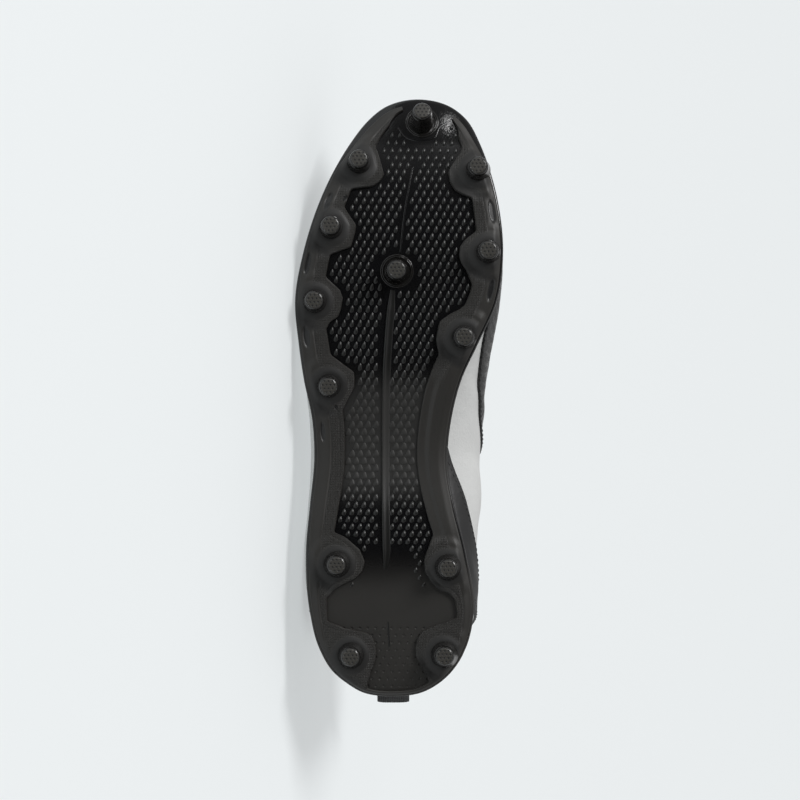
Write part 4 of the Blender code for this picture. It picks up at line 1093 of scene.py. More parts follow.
# %% Nubs
Nub = namedtuple("Nub", "x length width height")
NUB_SIZES = (
    Nub(0.050, 0.0022, 0.0020, 0.0004),
    Nub(0.072, 0.0034, 0.0026, 0.0008),
    Nub(0.094, 0.0037, 0.0028, 0.0008),
    Nub(0.106, 0.0044, 0.0035, 0.0005),
    Nub(0.145, 0.0045, 0.0035, 0.0005),
    Nub(0.160, 0.0041, 0.0024, 0.0007),
    Nub(0.255, 0.0038, 0.0021, 0.0007),
    Nub(0.267, 0.0030, 0.0020, 0.0007),
    Nub(0.280, 0.0024, 0.0020, 0.0006),
)
NUB_LEAN = 0.0006
NUB_ROWS = 9
NUB_COLUMNS = 9
FROM_FRAME = 0.0014
FROM_RIB = 0.0019
CHANNEL_LATERAL = 0.0034
CHANNEL_MEDIAL = 0.0037
FROM_PLATE_STUD = 0.0108
BARE_TO = 0.0720
BARE_CORNERS_TO = 0.0510
BARE_MIDDLE = -0.002
BARE_CORNERS = (0.009, 0.017)
FROM_TOE_PANEL = 0.0022

# Where the smooth toe ends, in metres: along the sole, and across it
Corner = namedtuple("Corner", "x y")
TOE_PANEL = (
    Corner(0.2745, 0.0029),
    Corner(0.2701, 0.0072),
    Corner(0.2687, 0.0150),
    Corner(0.2701, 0.0207),
    Corner(0.2745, 0.0232),
    Corner(0.2774, 0.0280),
)


def inside(points, loop):
    """Whether each point is inside a closed loop, by counting the sides that a ray crosses."""
    x, y = points[..., 0], points[..., 1]
    found = np.zeros(points.shape[:-1], bool)
    for (ax, ay), (bx, by) in zip(loop, np.roll(loop, -1, axis=0)):
        if ay == by:
            continue
        crosses = (ay > y) != (by > y)
        found ^= crosses & (x < (bx - ax) * (y - ay) / (by - ay) + ax)
    return found


Rib = namedtuple("Rib", "along across")
SPINE_FRONT = (Rib(0.890, 0.100), Rib(0.815, 0.062), Rib(0.745, 0.040))
SPINE_REAR = (
    Rib(0.682, -0.002),
    Rib(0.640, -0.018),
    Rib(0.560, -0.034),
    Rib(0.480, -0.040),
    Rib(0.340, -0.041),
    Rib(0.215, -0.035),
)
SPINE_HEEL = (Rib(0.126, -0.019), Rib(0.105, -0.016), Rib(0.085, -0.012))


def smooth_path(points, count):
    """Evenly keyed points on a smooth open curve through the given ones."""
    points = np.asarray(points, float)
    points = np.vstack([2 * points[0] - points[1], points, 2 * points[-1] - points[-2]])
    place = np.linspace(0, len(points) - 3, count + 1)
    i = np.minimum(place.astype(int), len(points) - 4)
    t = (place - i)[:, None]
    a, b, c, d = points[i], points[i + 1], points[i + 2], points[i + 3]
    bend = (2 * a - 5 * b + 4 * c - d) * (t * t / 2) + (3 * b - a - 3 * c + d) * (t**3 / 2)
    return b + (c - a) * (t / 2) + bend


def rib_plan(ribs, count):
    return smooth_path([(r.along * SOLE_LENGTH, r.across * BALL_WIDTH) for r in ribs], count)


def nub(centre, length, width, height):
    """One drop, leaning a little: rows from its wide end to its point, each row an arch."""
    share = np.linspace(0, 1, NUB_ROWS)[:, None]
    angle = np.linspace(0, math.pi, NUB_COLUMNS)
    half = width / 2 * np.sin(math.pi * share**0.7) ** 0.6 * (1.06 - 0.35 * share)
    top = height * np.sin(math.pi * share**0.85) ** 0.7
    x = centre[0] + (share - 0.5) * length + 0 * angle
    y = centre[1] + (share - 0.5) * NUB_LEAN + half * np.cos(angle)
    return on_base(x, y, 0.0001 - top * np.sin(angle) ** 1.2)


def off_the_spine(places):
    """Whether each place is clear of the slim front rib and of the channel along the rear one."""
    clear = distance_to(places, rib_plan(SPINE_FRONT, 60)) > FROM_RIB
    rear = rib_plan(SPINE_REAR, 200)[::-1]
    across = places[:, 1] - np.interp(places[:, 0], rear[:, 0], rear[:, 1])
    channel = (across > -CHANNEL_LATERAL) & (across < CHANNEL_MEDIAL)
    return clear & ~(channel & (places[:, 0] < rear[-1, 0] + 0.002))


def nub_places():
    rows = np.arange(0, int(SOLE_LENGTH / NUB_PITCH_ALONG))
    columns = np.arange(-16, 17)
    row, column = np.meshgrid(rows, columns, indexing="ij")
    x = (row + 0.5) * NUB_PITCH_ALONG
    y = (column + 0.5 - 0.5 * (row % 2)) * NUB_PITCH_ACROSS
    places = np.stack([x, y], axis=-1).reshape(-1, 2)
    kept = inside(places, INNER_EDGE)
    kept &= distance_to(places, INNER_EDGE) > FROM_FRAME
    kept &= off_the_spine(places)
    aside = ease(share_between(np.abs(places[:, 1] - BARE_MIDDLE), *BARE_CORNERS))
    kept &= places[:, 0] > BARE_TO + (BARE_CORNERS_TO - BARE_TO) * aside
    panel = np.interp(places[:, 1], [c.y for c in TOE_PANEL], [c.x for c in TOE_PANEL])
    kept &= places[:, 0] < panel - FROM_TOE_PANEL
    for stud in STUDS:
        if not stud.on_frame:
            centre = np.array([stud.along * SOLE_LENGTH, stud.across * BALL_WIDTH])
            kept &= np.linalg.norm(places - centre, axis=1) > FROM_PLATE_STUD
    return places[kept]


def build_nubs():
    places = nub_places()
    at = [size.x for size in NUB_SIZES]
    sizes = [np.interp(places[:, 0], at, [size[i] for size in NUB_SIZES]) for i in (1, 2, 3)]
    patches = [nub(place, *size) for place, size in zip(places, np.transpose(sizes))]
    mesh = joined("outsole_nubs", patches)
    print("nubs:", len(patches))
    return hang("outsole_nubs", mesh, NUB_TPU)


build_nubs()


# %% [markdown]
# ## The spine
# A low rib stiffens the plate along its middle. It is swept along a smooth path: slim in front, and
# behind the middle stud a broad one with a steep lateral side, which fades out before the heel. A thin
# line marks the middle of the heel, and the smooth toe ends in a slim rib too.

# %% Spine
Step = namedtuple("Step", "aside rise")
FRONT_SECTION = (
    Step(-0.0005, -0.0001),
    Step(-0.0003, 0.00014),
    Step(0.0, 0.00018),
    Step(0.0003, 0.00014),
    Step(0.0005, -0.0001),
)
REAR_SECTION = (
    Step(-0.0009, -0.0001),
    Step(-0.0007, 0.0006),
    Step(-0.0003, 0.0009),
    Step(0.0002, 0.0008),
    Step(0.0008, 0.0005),
    Step(0.0016, 0.0003),
    Step(0.0026, 0.00018),
    Step(0.0032, -0.0001),
)
REAR_FADES = ((0.215, 0.12), (0.245, 1.0), (0.650, 1.0), (0.682, 0.3))
EVEN = ((0.0, 1.0), (1.0, 1.0))


def build_spine(name, ribs, steps, section, fades, material, replaced=()):
    path = rib_plan(ribs, steps)
    ahead = unit(np.gradient(path, axis=0))
    side = np.stack([ahead[:, 1], -ahead[:, 0]], axis=1)
    fade = np.interp(path[:, 0] / SOLE_LENGTH, *zip(*fades))[:, None]
    section = smooth_path([(s.aside, s.rise) for s in section], 3 * (len(section) - 1))
    plan = path[:, None] + side[:, None] * (section[:, 0] * (0.4 + 0.6 * fade))[..., None]
    grid = on_base(plan[..., 0], plan[..., 1], -section[:, 1] * fade)
    mesh = grid_mesh(name, grid)
    return hang(name, mesh, material, replaced)


TOE_LIP = [Rib(c.x / SOLE_LENGTH, c.y / BALL_WIDTH) for c in TOE_PANEL]
build_spine("spine_front_rib", SPINE_FRONT, 60, FRONT_SECTION, EVEN, PLATE_TPU, ["spine_front"])
build_spine("spine_rear_rib", SPINE_REAR, 200, REAR_SECTION, REAR_FADES, NUB_TPU, ["spine_rear"])
build_spine("spine_heel_line", SPINE_HEEL, 30, FRONT_SECTION, EVEN, NUB_TPU)
build_spine("toe_panel_lip", TOE_LIP, 40, FRONT_SECTION, EVEN, PLATE_TPU)

# %% [markdown]
# ## The upper's surface
# The skin of the shoe is pulled over a last and glued into the plate's rim. In each section round the
# outline its side is one Bezier curve: it leaves the rim, bulges out over it, and turns in to the collar
# or to the edge of the throat. The share v is 0 down in the rim and 1 at the top line.

# %% The upper's surface
RIM_SHARE = 0.08
THROAT_BACK = 0.36
CROWDING = 0.45
UP = np.array([0.0, 0.0, 1.0])


def section_curve():
    keys = [float(turn_at(s.side, s.foot)) for s in UPPER_SECTIONS]
    return smooth_loop(keys, [s[2:] for s in UPPER_SECTIONS], 2.0)


SECTION_AT = section_curve()


def in_plan(vectors):
    return np.concatenate([vectors[..., :2], np.zeros_like(vectors[..., :1])], axis=-1)


def upper_point(turn, v):
    """The smooth outer face of the upper."""
    turn, v = np.broadcast_arrays(np.asarray(turn, float), np.asarray(v, float))
    at = SECTION_AT(turn % 2)
    top = np.stack(
        [
            at[..., 0] * SOLE_LENGTH,
            at[..., 1] * BALL_WIDTH,
            FLOOR_HEIGHT + at[..., 2] * HEEL_HEIGHT + at[..., 3] * INSTEP_HEIGHT,
        ],
        axis=-1,
    )
    rise, out, reach, drop, swing = (at[..., i, None] for i in range(4, 9))
    start = edge_point(turn, UPPER_INSET, PLATE_THICKNESS + GAP)
    foot = edge_point(turn, UPPER_INSET, rim_height(turn))
    height = top[..., 2:] - foot[..., 2:]
    square = np.concatenate([edge_outward(turn), np.zeros(turn.shape + (1,))], axis=-1)
    away = unit(square * (1 - swing) + unit(in_plan(foot - top)) * swing)
    low = foot + square * (out * BALL_WIDTH) + UP * (rise * height)
    high = top + away * (reach * BALL_WIDTH) - UP * (drop * height)
    t = np.maximum((v - RIM_SHARE) / (1 - RIM_SHARE), 0)[..., None]
    s = 1 - t
    curve = foot * s**3 + low * (3 * s * s * t) + high * (3 * s * t * t) + top * t**3
    in_rim = start + (foot - start) * np.clip(v / RIM_SHARE, 0, 1)[..., None]
    return np.where((v < RIM_SHARE)[..., None], in_rim, curve)


def upper_normal(turn, v):
    turn, v = np.broadcast_arrays(np.asarray(turn, float), np.asarray(v, float))
    step = 0.004
    low = np.maximum(v - step, RIM_SHARE + 0.001)
    high = np.minimum(np.maximum(v + step, low + step), 1.0)
    across = upper_point(turn + step, v) - upper_point(turn - step, v)
    upward = upper_point(turn, high) - upper_point(turn, low)
    return unit(np.cross(upward, across))


# %% [markdown]
# A worn or boxed shoe is never as smooth as its last. The skin buckles where the foot bends, in short
# troughs that fan out from the throat, and it ripples a little over the heel. Each crease is listed:
# where it is, how far up it reaches, how deep and how wide it is and how it leans.

# %% Creases
Crease = namedtuple("Crease", "side along low high depth width lean")
CREASES = (
    Crease(MEDIAL, 0.640, 0.30, 0.95, 0.0005, 0.009, 0.04),
    Crease(MEDIAL, 0.605, 0.32, 0.88, 0.0006, 0.011, 0.02),
    Crease(MEDIAL, 0.566, 0.42, 0.80, 0.0005, 0.010, -0.02),
    Crease(MEDIAL, 0.520, 0.12, 0.62, 0.0003, 0.013, -0.06),
    Crease(MEDIAL, 0.468, 0.12, 0.55, 0.0003, 0.015, -0.10),
    Crease(MEDIAL, 0.400, 0.12, 0.50, 0.0004, 0.018, -0.05),
    Crease(LATERAL, 0.652, 0.28, 0.95, 0.0007, 0.009, 0.05),
    Crease(LATERAL, 0.612, 0.20, 0.88, 0.0009, 0.011, 0.03),
    Crease(LATERAL, 0.570, 0.16, 0.78, 0.0007, 0.010, -0.01),
    Crease(LATERAL, 0.516, 0.14, 0.60, 0.0006, 0.014, -0.05),
    Crease(LATERAL, 0.180, 0.20, 0.70, 0.0004, 0.016, 0.05),
    Crease(MEDIAL, 0.170, 0.20, 0.70, 0.0004, 0.016, 0.05),
)
RIPPLE = 0.00022


def relief(turn, v):
    """How far the skin stands out from the smooth surface, or in from it."""
    turn, v = np.broadcast_arrays(np.asarray(turn, float), np.asarray(v, float))
    along = edge_plan(turn)[..., 0] / SOLE_LENGTH
    on_medial = (turn % 2) < 1
    found = RIPPLE * np.sin(along * 61 + v * 9) * np.sin(v * 17 + along * 23)
    for c in CREASES:
        off = (along - c.along - c.lean * (v - 0.5)) / c.width
        reach = ease(share_between(v, c.low, c.low + 0.12))
        reach = reach * (1 - ease(share_between(v, c.high - 0.15, c.high)))
        trough = -np.exp(-(off**2)) + 0.5 * np.exp(-((off - 1.7) ** 2)) + 0.35 * np.exp(-((off + 1.8) ** 2))
        found += np.where(on_medial == (c.side == MEDIAL), c.depth * reach * trough, 0)
    return found * ease(share_between(v, 0.09, 0.2)) * ease(share_between(v, 1.0, 0.93))


def over_upper(turn, v, out):
    return upper_point(turn, v) + upper_normal(turn, v) * (out + relief(turn, v))[..., None]


def crowded(turn):
    """The same turn, moved so that even steps come closer together round the heel and the toe."""
    return turn - CROWDING * np.sin(2 * np.pi * turn) / (2 * np.pi)


UNCROWD_TURNS = np.linspace(-1, 4, 8000)
UNCROWD_KEYS = crowded(UNCROWD_TURNS)


def uncrowded(turn):
    return np.interp(turn, UNCROWD_KEYS, UNCROWD_TURNS)


def turn_under_top(side, along):
    """The turn whose section ends at this place along the throat's edge."""
    turns = np.linspace(float(turn_at(side, THROAT_BACK)), 1.0, 600)
    return np.interp(along, SECTION_AT(turns)[:, 0], turns)


# %% [markdown]
# ## Coated synthetic skin
# The white of a football cleat is a polyester felt with a polyurethane coat, embossed with a leather
# grain. Its grain cells are about 0.9 mm wide, and they show as a soft break-up of the highlight more
# than as colour. Inside it is lined with a dark knitted textile, so the material mixes the two by a value
# that the mesh carries.

# %% Skin, film and lining
SKIN_WHITE = "#E3E4E4"
LINING_GREY = "#2A2B2D"
GRAIN_CELL = 0.0009
KNIT_PITCH = 0.0011


def skin_material():
    made, tree, shader = new_material("Synthetic leather embossed white", SKIN_WHITE, 0.42, IOR=1.48)
    place = object_place(tree)
    lining = painted(tree, "lining")
    colour = blend(tree, noise(tree, place, 45.0, 4.0), "#C0C1C0", "#CCCDCC")
    colour = blend(tree, lining, colour, LINING_GREY)
    cells = {"Vector": place, "Scale": 1 / GRAIN_CELL}
    cells = node(tree, "ShaderNodeTexVoronoi", cells, feature="F1").outputs[0]
    wrinkle = {"Vector": place, "Scale": 130.0, "Detail": 5.0, "Roughness": 0.6}
    wrinkle = node(tree, "ShaderNodeTexNoise", wrinkle).outputs[0]
    normal = bumped(tree, wrinkle, 0.0009, 0.55)
    normal = bumped(tree, cells, 0.00012, 0.6, normal)
    wire(shader, Base_Color=colour, Roughness=ramp(tree, lining, 0.42, 0.9), Normal=normal)
    return made


SKIN = skin_material()


DOT_ROW_SHARE = 0.866


def film_material(name, code, roughness, dot_pitch=None, dot_radius=0.0):
    """Thermoplastic film, welded on under heat, with raised printed dots where a pitch is given."""
    made, tree, shader = new_material(name, code, roughness, IOR=1.5)
    place = object_place(tree)
    normal = bumped(tree, noise(tree, place, 210.0, 4.0), 0.0006, 0.4)
    normal = bumped(tree, noise(tree, place, 2400.0, 2.0), 0.00003, 0.6, normal)
    if dot_pitch:
        spot = dots(tree, metres(tree), dot_pitch * DOT_ROW_SHARE, dot_pitch, dot_radius, 0.25)
        normal = bumped(tree, spot, 0.0005, 1.0, normal)
        rough = ramp(tree, spot, roughness + 0.18, roughness - 0.12)
        wire(shader, Base_Color=blend(tree, spot, "#131314", code), Roughness=rough)
    wire(shader, Normal=normal)
    return made


VAMP_FILM = film_material("TPU film black with raised dots", "#0E0E0F", 0.26, 0.0027, 0.00082)
PANEL_FILM = film_material("TPU film welded black", "#0A0A0B", 0.50)
STAY_FILM = film_material("Synthetic leather matte black", "#161617", 0.48)
COUNTER_GREY = film_material("TPU counter moulded light grey", "#C9CACB", 0.34)


# %% [markdown]
# ## The upper
# The shell is one grid: up the outside, over a rounded lip and down inside, all the way round the shoe.
# Its outside is thick synthetic skin, and its inside the lining.

# %% Upper
UPPER_STATIONS = 300
UPPER_ROWS = 60


def build_upper():
    turns = crowded(np.linspace(0, 2, UPPER_STATIONS, endpoint=False))[None]
    v = np.linspace(0, 1, UPPER_ROWS)[:, None]
    outer = over_upper(turns, v, 0.0)
    inner = over_upper(turns, v[::-1], -UPPER_WALL)
    ridge = unit(upper_point(turns, 1.0) - upper_point(turns, 0.985))
    out = upper_normal(turns, 1.0)
    half = UPPER_WALL / 2
    middle = upper_point(turns, 1.0) - out * half
    angles = np.linspace(0, math.pi, 7)[1:-1]
    lip = [middle + out * (half * math.cos(a)) + ridge * (half * 0.7 * math.sin(a)) for a in angles]
    grid = np.concatenate([outer, *lip, inner], axis=0)
    mesh = grid_mesh("upper_skin", grid, round_columns=True, flip=True)
    lined = np.zeros(grid.shape[:2])
    lined[UPPER_ROWS + 3 :] = 1
    paint(mesh, lining=lined)
    return hang("upper_skin", mesh, SKIN, ["upper"])


UPPER = build_upper()
print("upper:", len(UPPER.data.polygons), "faces")

# %% [markdown]
# ## Layers on the upper
# The black toe, the panels, the eyestay and the heel counter are separate sheets that are welded or
# stitched over the skin. Each follows the surface and its creases a millimetre out, and its edge rolls
# down into the skin. The ends of a layer are functions of how far up it is, so that they may slant or
# sweep.

# %% Layers
LOW_EDGE = 0.088
VAMP_TOP = 0.798
EYESTAY_LOW = 0.810
EYESTAY_HIGH = 0.995
QUARTER_TOP = 0.860
COUNTER_TOP = 0.40
COUNTER_CROWN = 0.12
EYESTAY_BACK = 0.368
QUARTER_SWEEPS = {"medial": 3.4, "lateral": 1.6}
LATERAL_PANEL_LOW = 0.62
Limit = namedtuple("Limit", "low high")
VAMP_BACK = Limit(0.640, 0.500)
VAMP_BOW_MEDIAL = 0.085
VAMP_BOW_LATERAL = 0.03
QUARTER_FRONTS = {"medial": Limit(0.430, 0.180), "lateral": Limit(0.430, 0.225)}
QUARTER_BACK = Limit(0.150, 0.100)
COUNTER_FRONT = Limit(0.085, 0.060)
LAYER_OUT = 0.0011
SKIRT_STEPS = np.array([0.0, 0.00012, 0.0004, 0.0009])
SKIRT_RISES = np.array([0.0, 0.55, 0.88, 1.0])


def layer_turn(side, along):
    return uncrowded(float(turn_at(side, along)))


def between(start, end):
    return lambda share: start + (end - start) * share


def swept(start, end, power):
    return lambda share: end + (start - end) * (1 - share) ** power


def bowed(start, end, bow):
    return lambda share: start + (end - start) * share + bow * np.sin(math.pi * np.asarray(share))


Layer = namedtuple("Layer", "first last low top columns rows")


def on_layer(layer, a, b, out):
    """A point of a layer: a runs along it and b up it, both from 0 to 1."""
    a, b = np.broadcast_arrays(np.asarray(a, float), np.asarray(b, float))
    turn = crowded(layer.first(b) + (layer.last(b) - layer.first(b)) * a)
    v = layer.low + (layer.top(a) - layer.low) * b
    return over_upper(turn, v, out), upper_normal(turn, v)


def shares_with_skirt(count, length):
    edge = SKIRT_STEPS / length
    return np.concatenate([edge[:-1], np.linspace(edge[-1], 1 - edge[-1], count), 1 - edge[-2::-1]])


def layer_size(layer):
    """How long and how high a layer is through its middle, in metres."""
    along, _ = on_layer(layer, np.linspace(0, 1, 60), 0.5, 0.0)
    upward, _ = on_layer(layer, 0.5, np.linspace(0, 1, 40), 0.0)
    return [np.linalg.norm(np.diff(line, axis=0), axis=1).sum() for line in (along, upward)]


def build_layer(name, layer, material, replaced):
    length, height = layer_size(layer)
    a = shares_with_skirt(layer.columns, length)[None]
    b = shares_with_skirt(layer.rows, height)[:, None]
    near = np.minimum(np.minimum(a, 1 - a) * length, np.minimum(b, 1 - b) * height)
    rise = np.interp(near, SKIRT_STEPS, SKIRT_RISES)
    grid, _ = on_layer(layer, a, b, LAYER_OUT * rise - 0.0003 * (1 - rise))
    mesh = grid_mesh(name, grid, flip=True)
    hang(name, mesh, material, [replaced])
    print(f"{name}: {length * 1000:.0f} x {height * 1000:.0f} mm")


VAMP = Layer(
    bowed(layer_turn(MEDIAL, VAMP_BACK.low), layer_turn(MEDIAL, VAMP_BACK.high), -VAMP_BOW_MEDIAL),
    bowed(layer_turn(LATERAL, VAMP_BACK.low), layer_turn(LATERAL, VAMP_BACK.high), VAMP_BOW_LATERAL),
    LOW_EDGE,
    between(VAMP_TOP, VAMP_TOP),
    170,
    46,
)
EYESTAY = Layer(
    between(*[uncrowded(turn_under_top(MEDIAL, EYESTAY_BACK))] * 2),
    between(*[uncrowded(turn_under_top(LATERAL, EYESTAY_BACK))] * 2),
    EYESTAY_LOW,
    between(EYESTAY_HIGH, EYESTAY_HIGH),
    180,
    16,
)
COUNTER = Layer(
    between(layer_turn(LATERAL, COUNTER_FRONT.low), layer_turn(LATERAL, COUNTER_FRONT.high)),
    between(layer_turn(MEDIAL, COUNTER_FRONT.low) + 2, layer_turn(MEDIAL, COUNTER_FRONT.high) + 2),
    LOW_EDGE,
    lambda a: COUNTER_TOP + COUNTER_CROWN * np.sin(math.pi * a),
    80,
    24,
)


def quarter(word, side):
    limit = QUARTER_FRONTS[word]
    front = swept(layer_turn(side, limit.low), layer_turn(side, limit.high), QUARTER_SWEEPS[word])
    back = between(layer_turn(side, QUARTER_BACK.low), layer_turn(side, QUARTER_BACK.high))
    limits = (back, front) if side == MEDIAL else (front, back)
    low = LOW_EDGE if side == MEDIAL else LATERAL_PANEL_LOW
    return Layer(*limits, low, between(QUARTER_TOP, QUARTER_TOP), 60, 44)


QUARTERS = {"medial": quarter("medial", MEDIAL), "lateral": quarter("lateral", LATERAL)}

build_layer("vamp_film", VAMP, VAMP_FILM, "vamp_overlay")
build_layer("eyestay_band", EYESTAY, STAY_FILM, "eyestay")
build_layer("heel_counter_shell", COUNTER, COUNTER_GREY, "heel_counter")
for word, layer in QUARTERS.items():
    build_layer(f"quarter_{word}_film", layer, PANEL_FILM, f"quarter_panel_{word}")

# %% [markdown]
# ## Stitches
# A cleat's layers are sewn with bonded polyester thread of about half a millimetre, three stitches to the
# centimetre. Each stitch is a small arch that dips into the skin at both ends. They are set out along
# lines on the layers, at a fixed distance from the edge, and joined into one mesh for each colour.

# %% Stitches
STITCH_PITCH = 0.0030
STITCH_LENGTH = 0.0024
STITCH_WIDTH = 0.00065
STITCH_HEIGHT = 0.00035
FROM_EDGE = 0.0018


def sampled(values, keys, at):
    return np.stack([np.interp(at, keys, values[:, i]) for i in range(3)], axis=-1)


def stitches(path, normals):
    """One small arched patch for each stitch along a path."""
    arc = np.concatenate([[0], np.cumsum(np.linalg.norm(np.diff(path, axis=0), axis=1))])
    count = int(arc[-1] / STITCH_PITCH)
    share = np.linspace(0, 1, 6)
    at = (np.arange(count)[:, None] + 0.5) * STITCH_PITCH + (share - 0.5) * STITCH_LENGTH
    place = sampled(path, arc, at)
    out = unit(sampled(normals, arc, at))
    side = np.cross(unit(np.gradient(place, axis=1)), out)
    swell = np.sin(math.pi * share)[:, None] ** 0.5
    angle = np.linspace(0, math.pi, 5)
    aside = (STITCH_WIDTH / 2 * np.cos(angle) * (0.4 + 0.6 * swell))[..., None]
    rise = (STITCH_HEIGHT * np.sin(angle) * swell - 0.0002 * (1 - swell))[..., None]
    return list(place[:, :, None] + side[:, :, None] * aside + out[:, :, None] * rise)


def thread_material(name, code):
    made, tree, shader = new_material(name, code, 0.55, IOR=1.53)
    twist = {"Vector": object_place(tree), "Scale": 900.0, "Distortion": 1.0}
    twist = node(tree, "ShaderNodeTexWave", twist).outputs[0]
    wire(shader, Normal=bumped(tree, twist, 0.0001, 0.5))
    return made


BLACK_THREAD = thread_material("Bonded polyester thread black", "#242425")
GREY_THREAD = thread_material("Bonded polyester thread grey", "#B4B5B6")


def seam(layer, a, b, lift=0.0):
    """A stitched line on a layer, through the given shares."""
    points, normals = on_layer(layer, a, b, LAYER_OUT + lift)
    return stitches(points, normals)


def build_seams():
    full = np.linspace(0.01, 0.99, 400)
    black = []
    for layer in (VAMP, *QUARTERS.values()):
        edge = FROM_EDGE / layer_size(layer)[0]
        black += seam(layer, edge, full) + seam(layer, 1 - edge, full)
    for layer in QUARTERS.values():
        black += seam(layer, full, 1 - FROM_EDGE / layer_size(layer)[1])
    stay_height = layer_size(EYESTAY)[1]
    black += seam(EYESTAY, full, FROM_EDGE / stay_height)
    black += seam(EYESTAY, full, 1 - FROM_EDGE * 0.8 / stay_height)
    hang("stitches_black", joined("stitches_black", black), BLACK_THREAD)
    counter_height = layer_size(COUNTER)[1]
    grey = seam(COUNTER, full, 1 - FROM_EDGE / counter_height)
    grey += seam(COUNTER, full, 1 - 2.4 * FROM_EDGE / counter_height)
    hang("stitches_grey", joined("stitches_grey", grey), GREY_THREAD)
    return len(black) + len(grey)


print("stitches:", build_seams())

# %% [markdown]
# ## Collar and tongue
# Both are foam under fabric. The collar is a roll of foam round the top line, covered by a knitted lining
# that also runs down inside, so it crowns over the edge and belly in against the ankle. The tongue is a
# mesh-covered pad under the lips of the throat that stands up past the collar. Their section is a few
# points, with a smooth closed curve run through them.

# %% Knitted covers
CUFF_CLEARANCE = 0.0008
TONGUE_CLEARANCE = 0.0012
TONGUE_THICKNESS = 0.0045
TONGUE_TOP = 0.024
TONGUE_CROWN = 0.0015
CUFF_PADDING = 0.0050
CUFF_DEPTH = 0.022
CUFF_ROLL = 0.0042
CUFF_FRONT = 0.345


def knit_material(name, code, light, pitch):
    """A knitted cover: rows of loops, drawn as bumps and painted lighter on top as a painted highlight,
    with random fuzz in the tone and a sheen that takes the light at the edge.
    """
    made, tree, shader = new_material(name, code, 0.85, IOR=1.5)
    shader.inputs["Sheen Weight"].default_value = 0.35
    shader.inputs["Sheen Roughness"].default_value = 0.5
    loops = dots(tree, metres(tree), pitch, pitch, pitch * 0.36, 0.6)
    lit_loops_and_fuzz = maths(tree, "MULTIPLY_ADD", loops, 0.7, noise(tree, object_place(tree), 700.0, 3.0))
    # The loops are painted lighter than the gaps between them: a painted highlight, with painted shade
    # between
    wire(shader, Base_Color=blend(tree, lit_loops_and_fuzz, code, light), Normal=bumped(tree, lit_loops_and_fuzz, 0.0004, 0.8))
    return made


COLLAR_KNIT = knit_material("Polyester knit brushed black", "#161617", "#2E2E30", KNIT_PITCH)
TONGUE_MESH = knit_material("Polyester spacer mesh grey", "#77797B", "#B9BBBD", 0.0016)


def closed_curve(points, steps):
    """A smooth closed curve through the points of each row, with this many steps between neighbours."""
    before, start, end, after = (np.roll(points, shift, axis=1) for shift in (1, 0, -1, -2))
    lines = []
    for t in np.linspace(0, 1, steps, endpoint=False):
        bend = (2 * before - 5 * start + 4 * end - after) * (t * t / 2)
        turn = (3 * start - before - 3 * end + after) * (t**3 / 2)
        lines.append(start + (end - before) * (t / 2) + bend + turn)
    return np.stack(lines, axis=2).reshape(len(points), -1, 3)


# %% Collar
CUFF_STATIONS = 220
CUFF_PUCKER = 0.00022


def build_collar():
    first = float(turn_at(LATERAL, CUFF_FRONT))
    last = float(turn_at(MEDIAL, CUFF_FRONT)) + 2
    turns = np.linspace(first, last, CUFF_STATIONS)
    from_end = np.minimum(turns - first, last - turns)
    pad = CUFF_PADDING * (0.25 + 0.75 * ease(from_end / 0.16))
    pad = pad + CUFF_PUCKER * np.sin(turns * 150) * ease(from_end / 0.2)
    inner = UPPER_WALL + CUFF_CLEARANCE
    one = np.ones_like(turns)
    profile = (
        (0.0 * one, GAP * one),
        (0.0002 * one, GAP + CUFF_ROLL * 0.5 * one),
        (-inner * 0.9 * one, (GAP + CUFF_ROLL) * one),
        (-inner - pad * 0.8, (GAP + CUFF_ROLL * 0.5) * one),
        (-inner - pad, -CUFF_DEPTH * 0.25 * one),
        (-inner - pad * 0.6, -CUFF_DEPTH * 0.72 * one),
        (-inner - 0.0006 * one, -CUFF_DEPTH * one),
        (-inner * one, -CUFF_DEPTH * one),
        (-inner * one, -CUFF_DEPTH * 0.5 * one),
        (-inner * one, GAP * one),
    )
    edge = upper_point(turns, 1.0)
    out = upper_normal(turns, 0.95)
    rise = unit(edge - upper_point(turns, 0.9))
    length = np.linalg.norm(edge - upper_point(turns, 0.6), axis=-1)
    ring = []
    for aside, above in profile:
        over = edge + out * aside[:, None] + rise * above[:, None]
        below = over_upper(turns, np.minimum(1 + above / length * 0.4, 1.0), aside)
        ring.append(np.where((above > 0)[:, None], over, below))
    grid = closed_curve(np.stack(ring, axis=1), 4)
    middle = grid.mean(axis=1, keepdims=True)
    ends = [middle[:1] + (grid[:1] - middle[:1]) * s for s in (0.02, 0.7)]
    tails = [middle[-1:] + (grid[-1:] - middle[-1:]) * s for s in (0.7, 0.02)]
    mesh = grid_mesh("collar_roll", np.concatenate([*ends, grid, *tails]), round_columns=True)
    made = hang("collar_roll", mesh, COLLAR_KNIT, ["collar_cuff"])
    return made


COLLAR = build_collar()
print("collar:", len(COLLAR.data.polygons), "faces")

# %% Tongue
TONGUE_FRONT = 0.740
TONGUE_BACK = 0.380
TONGUE_SECTIONS = 26
THROAT_FRONT_MEDIAL = 0.70
THROAT_FRONT_LATERAL = 0.69
TONGUE_WING = Limit(0.86, 0.94)
TONGUE_DROOP = 0.45
TONGUE_DOME = 0.0012
Stand = namedtuple("Stand", "up width")
TONGUE_STAND = (Stand(0.14, 0.75), Stand(0.45, 0.98), Stand(0.82, 1.16), Stand(1.0, 0.98))
TONGUE_LEAN = np.array([-0.60, 0, 0.80])


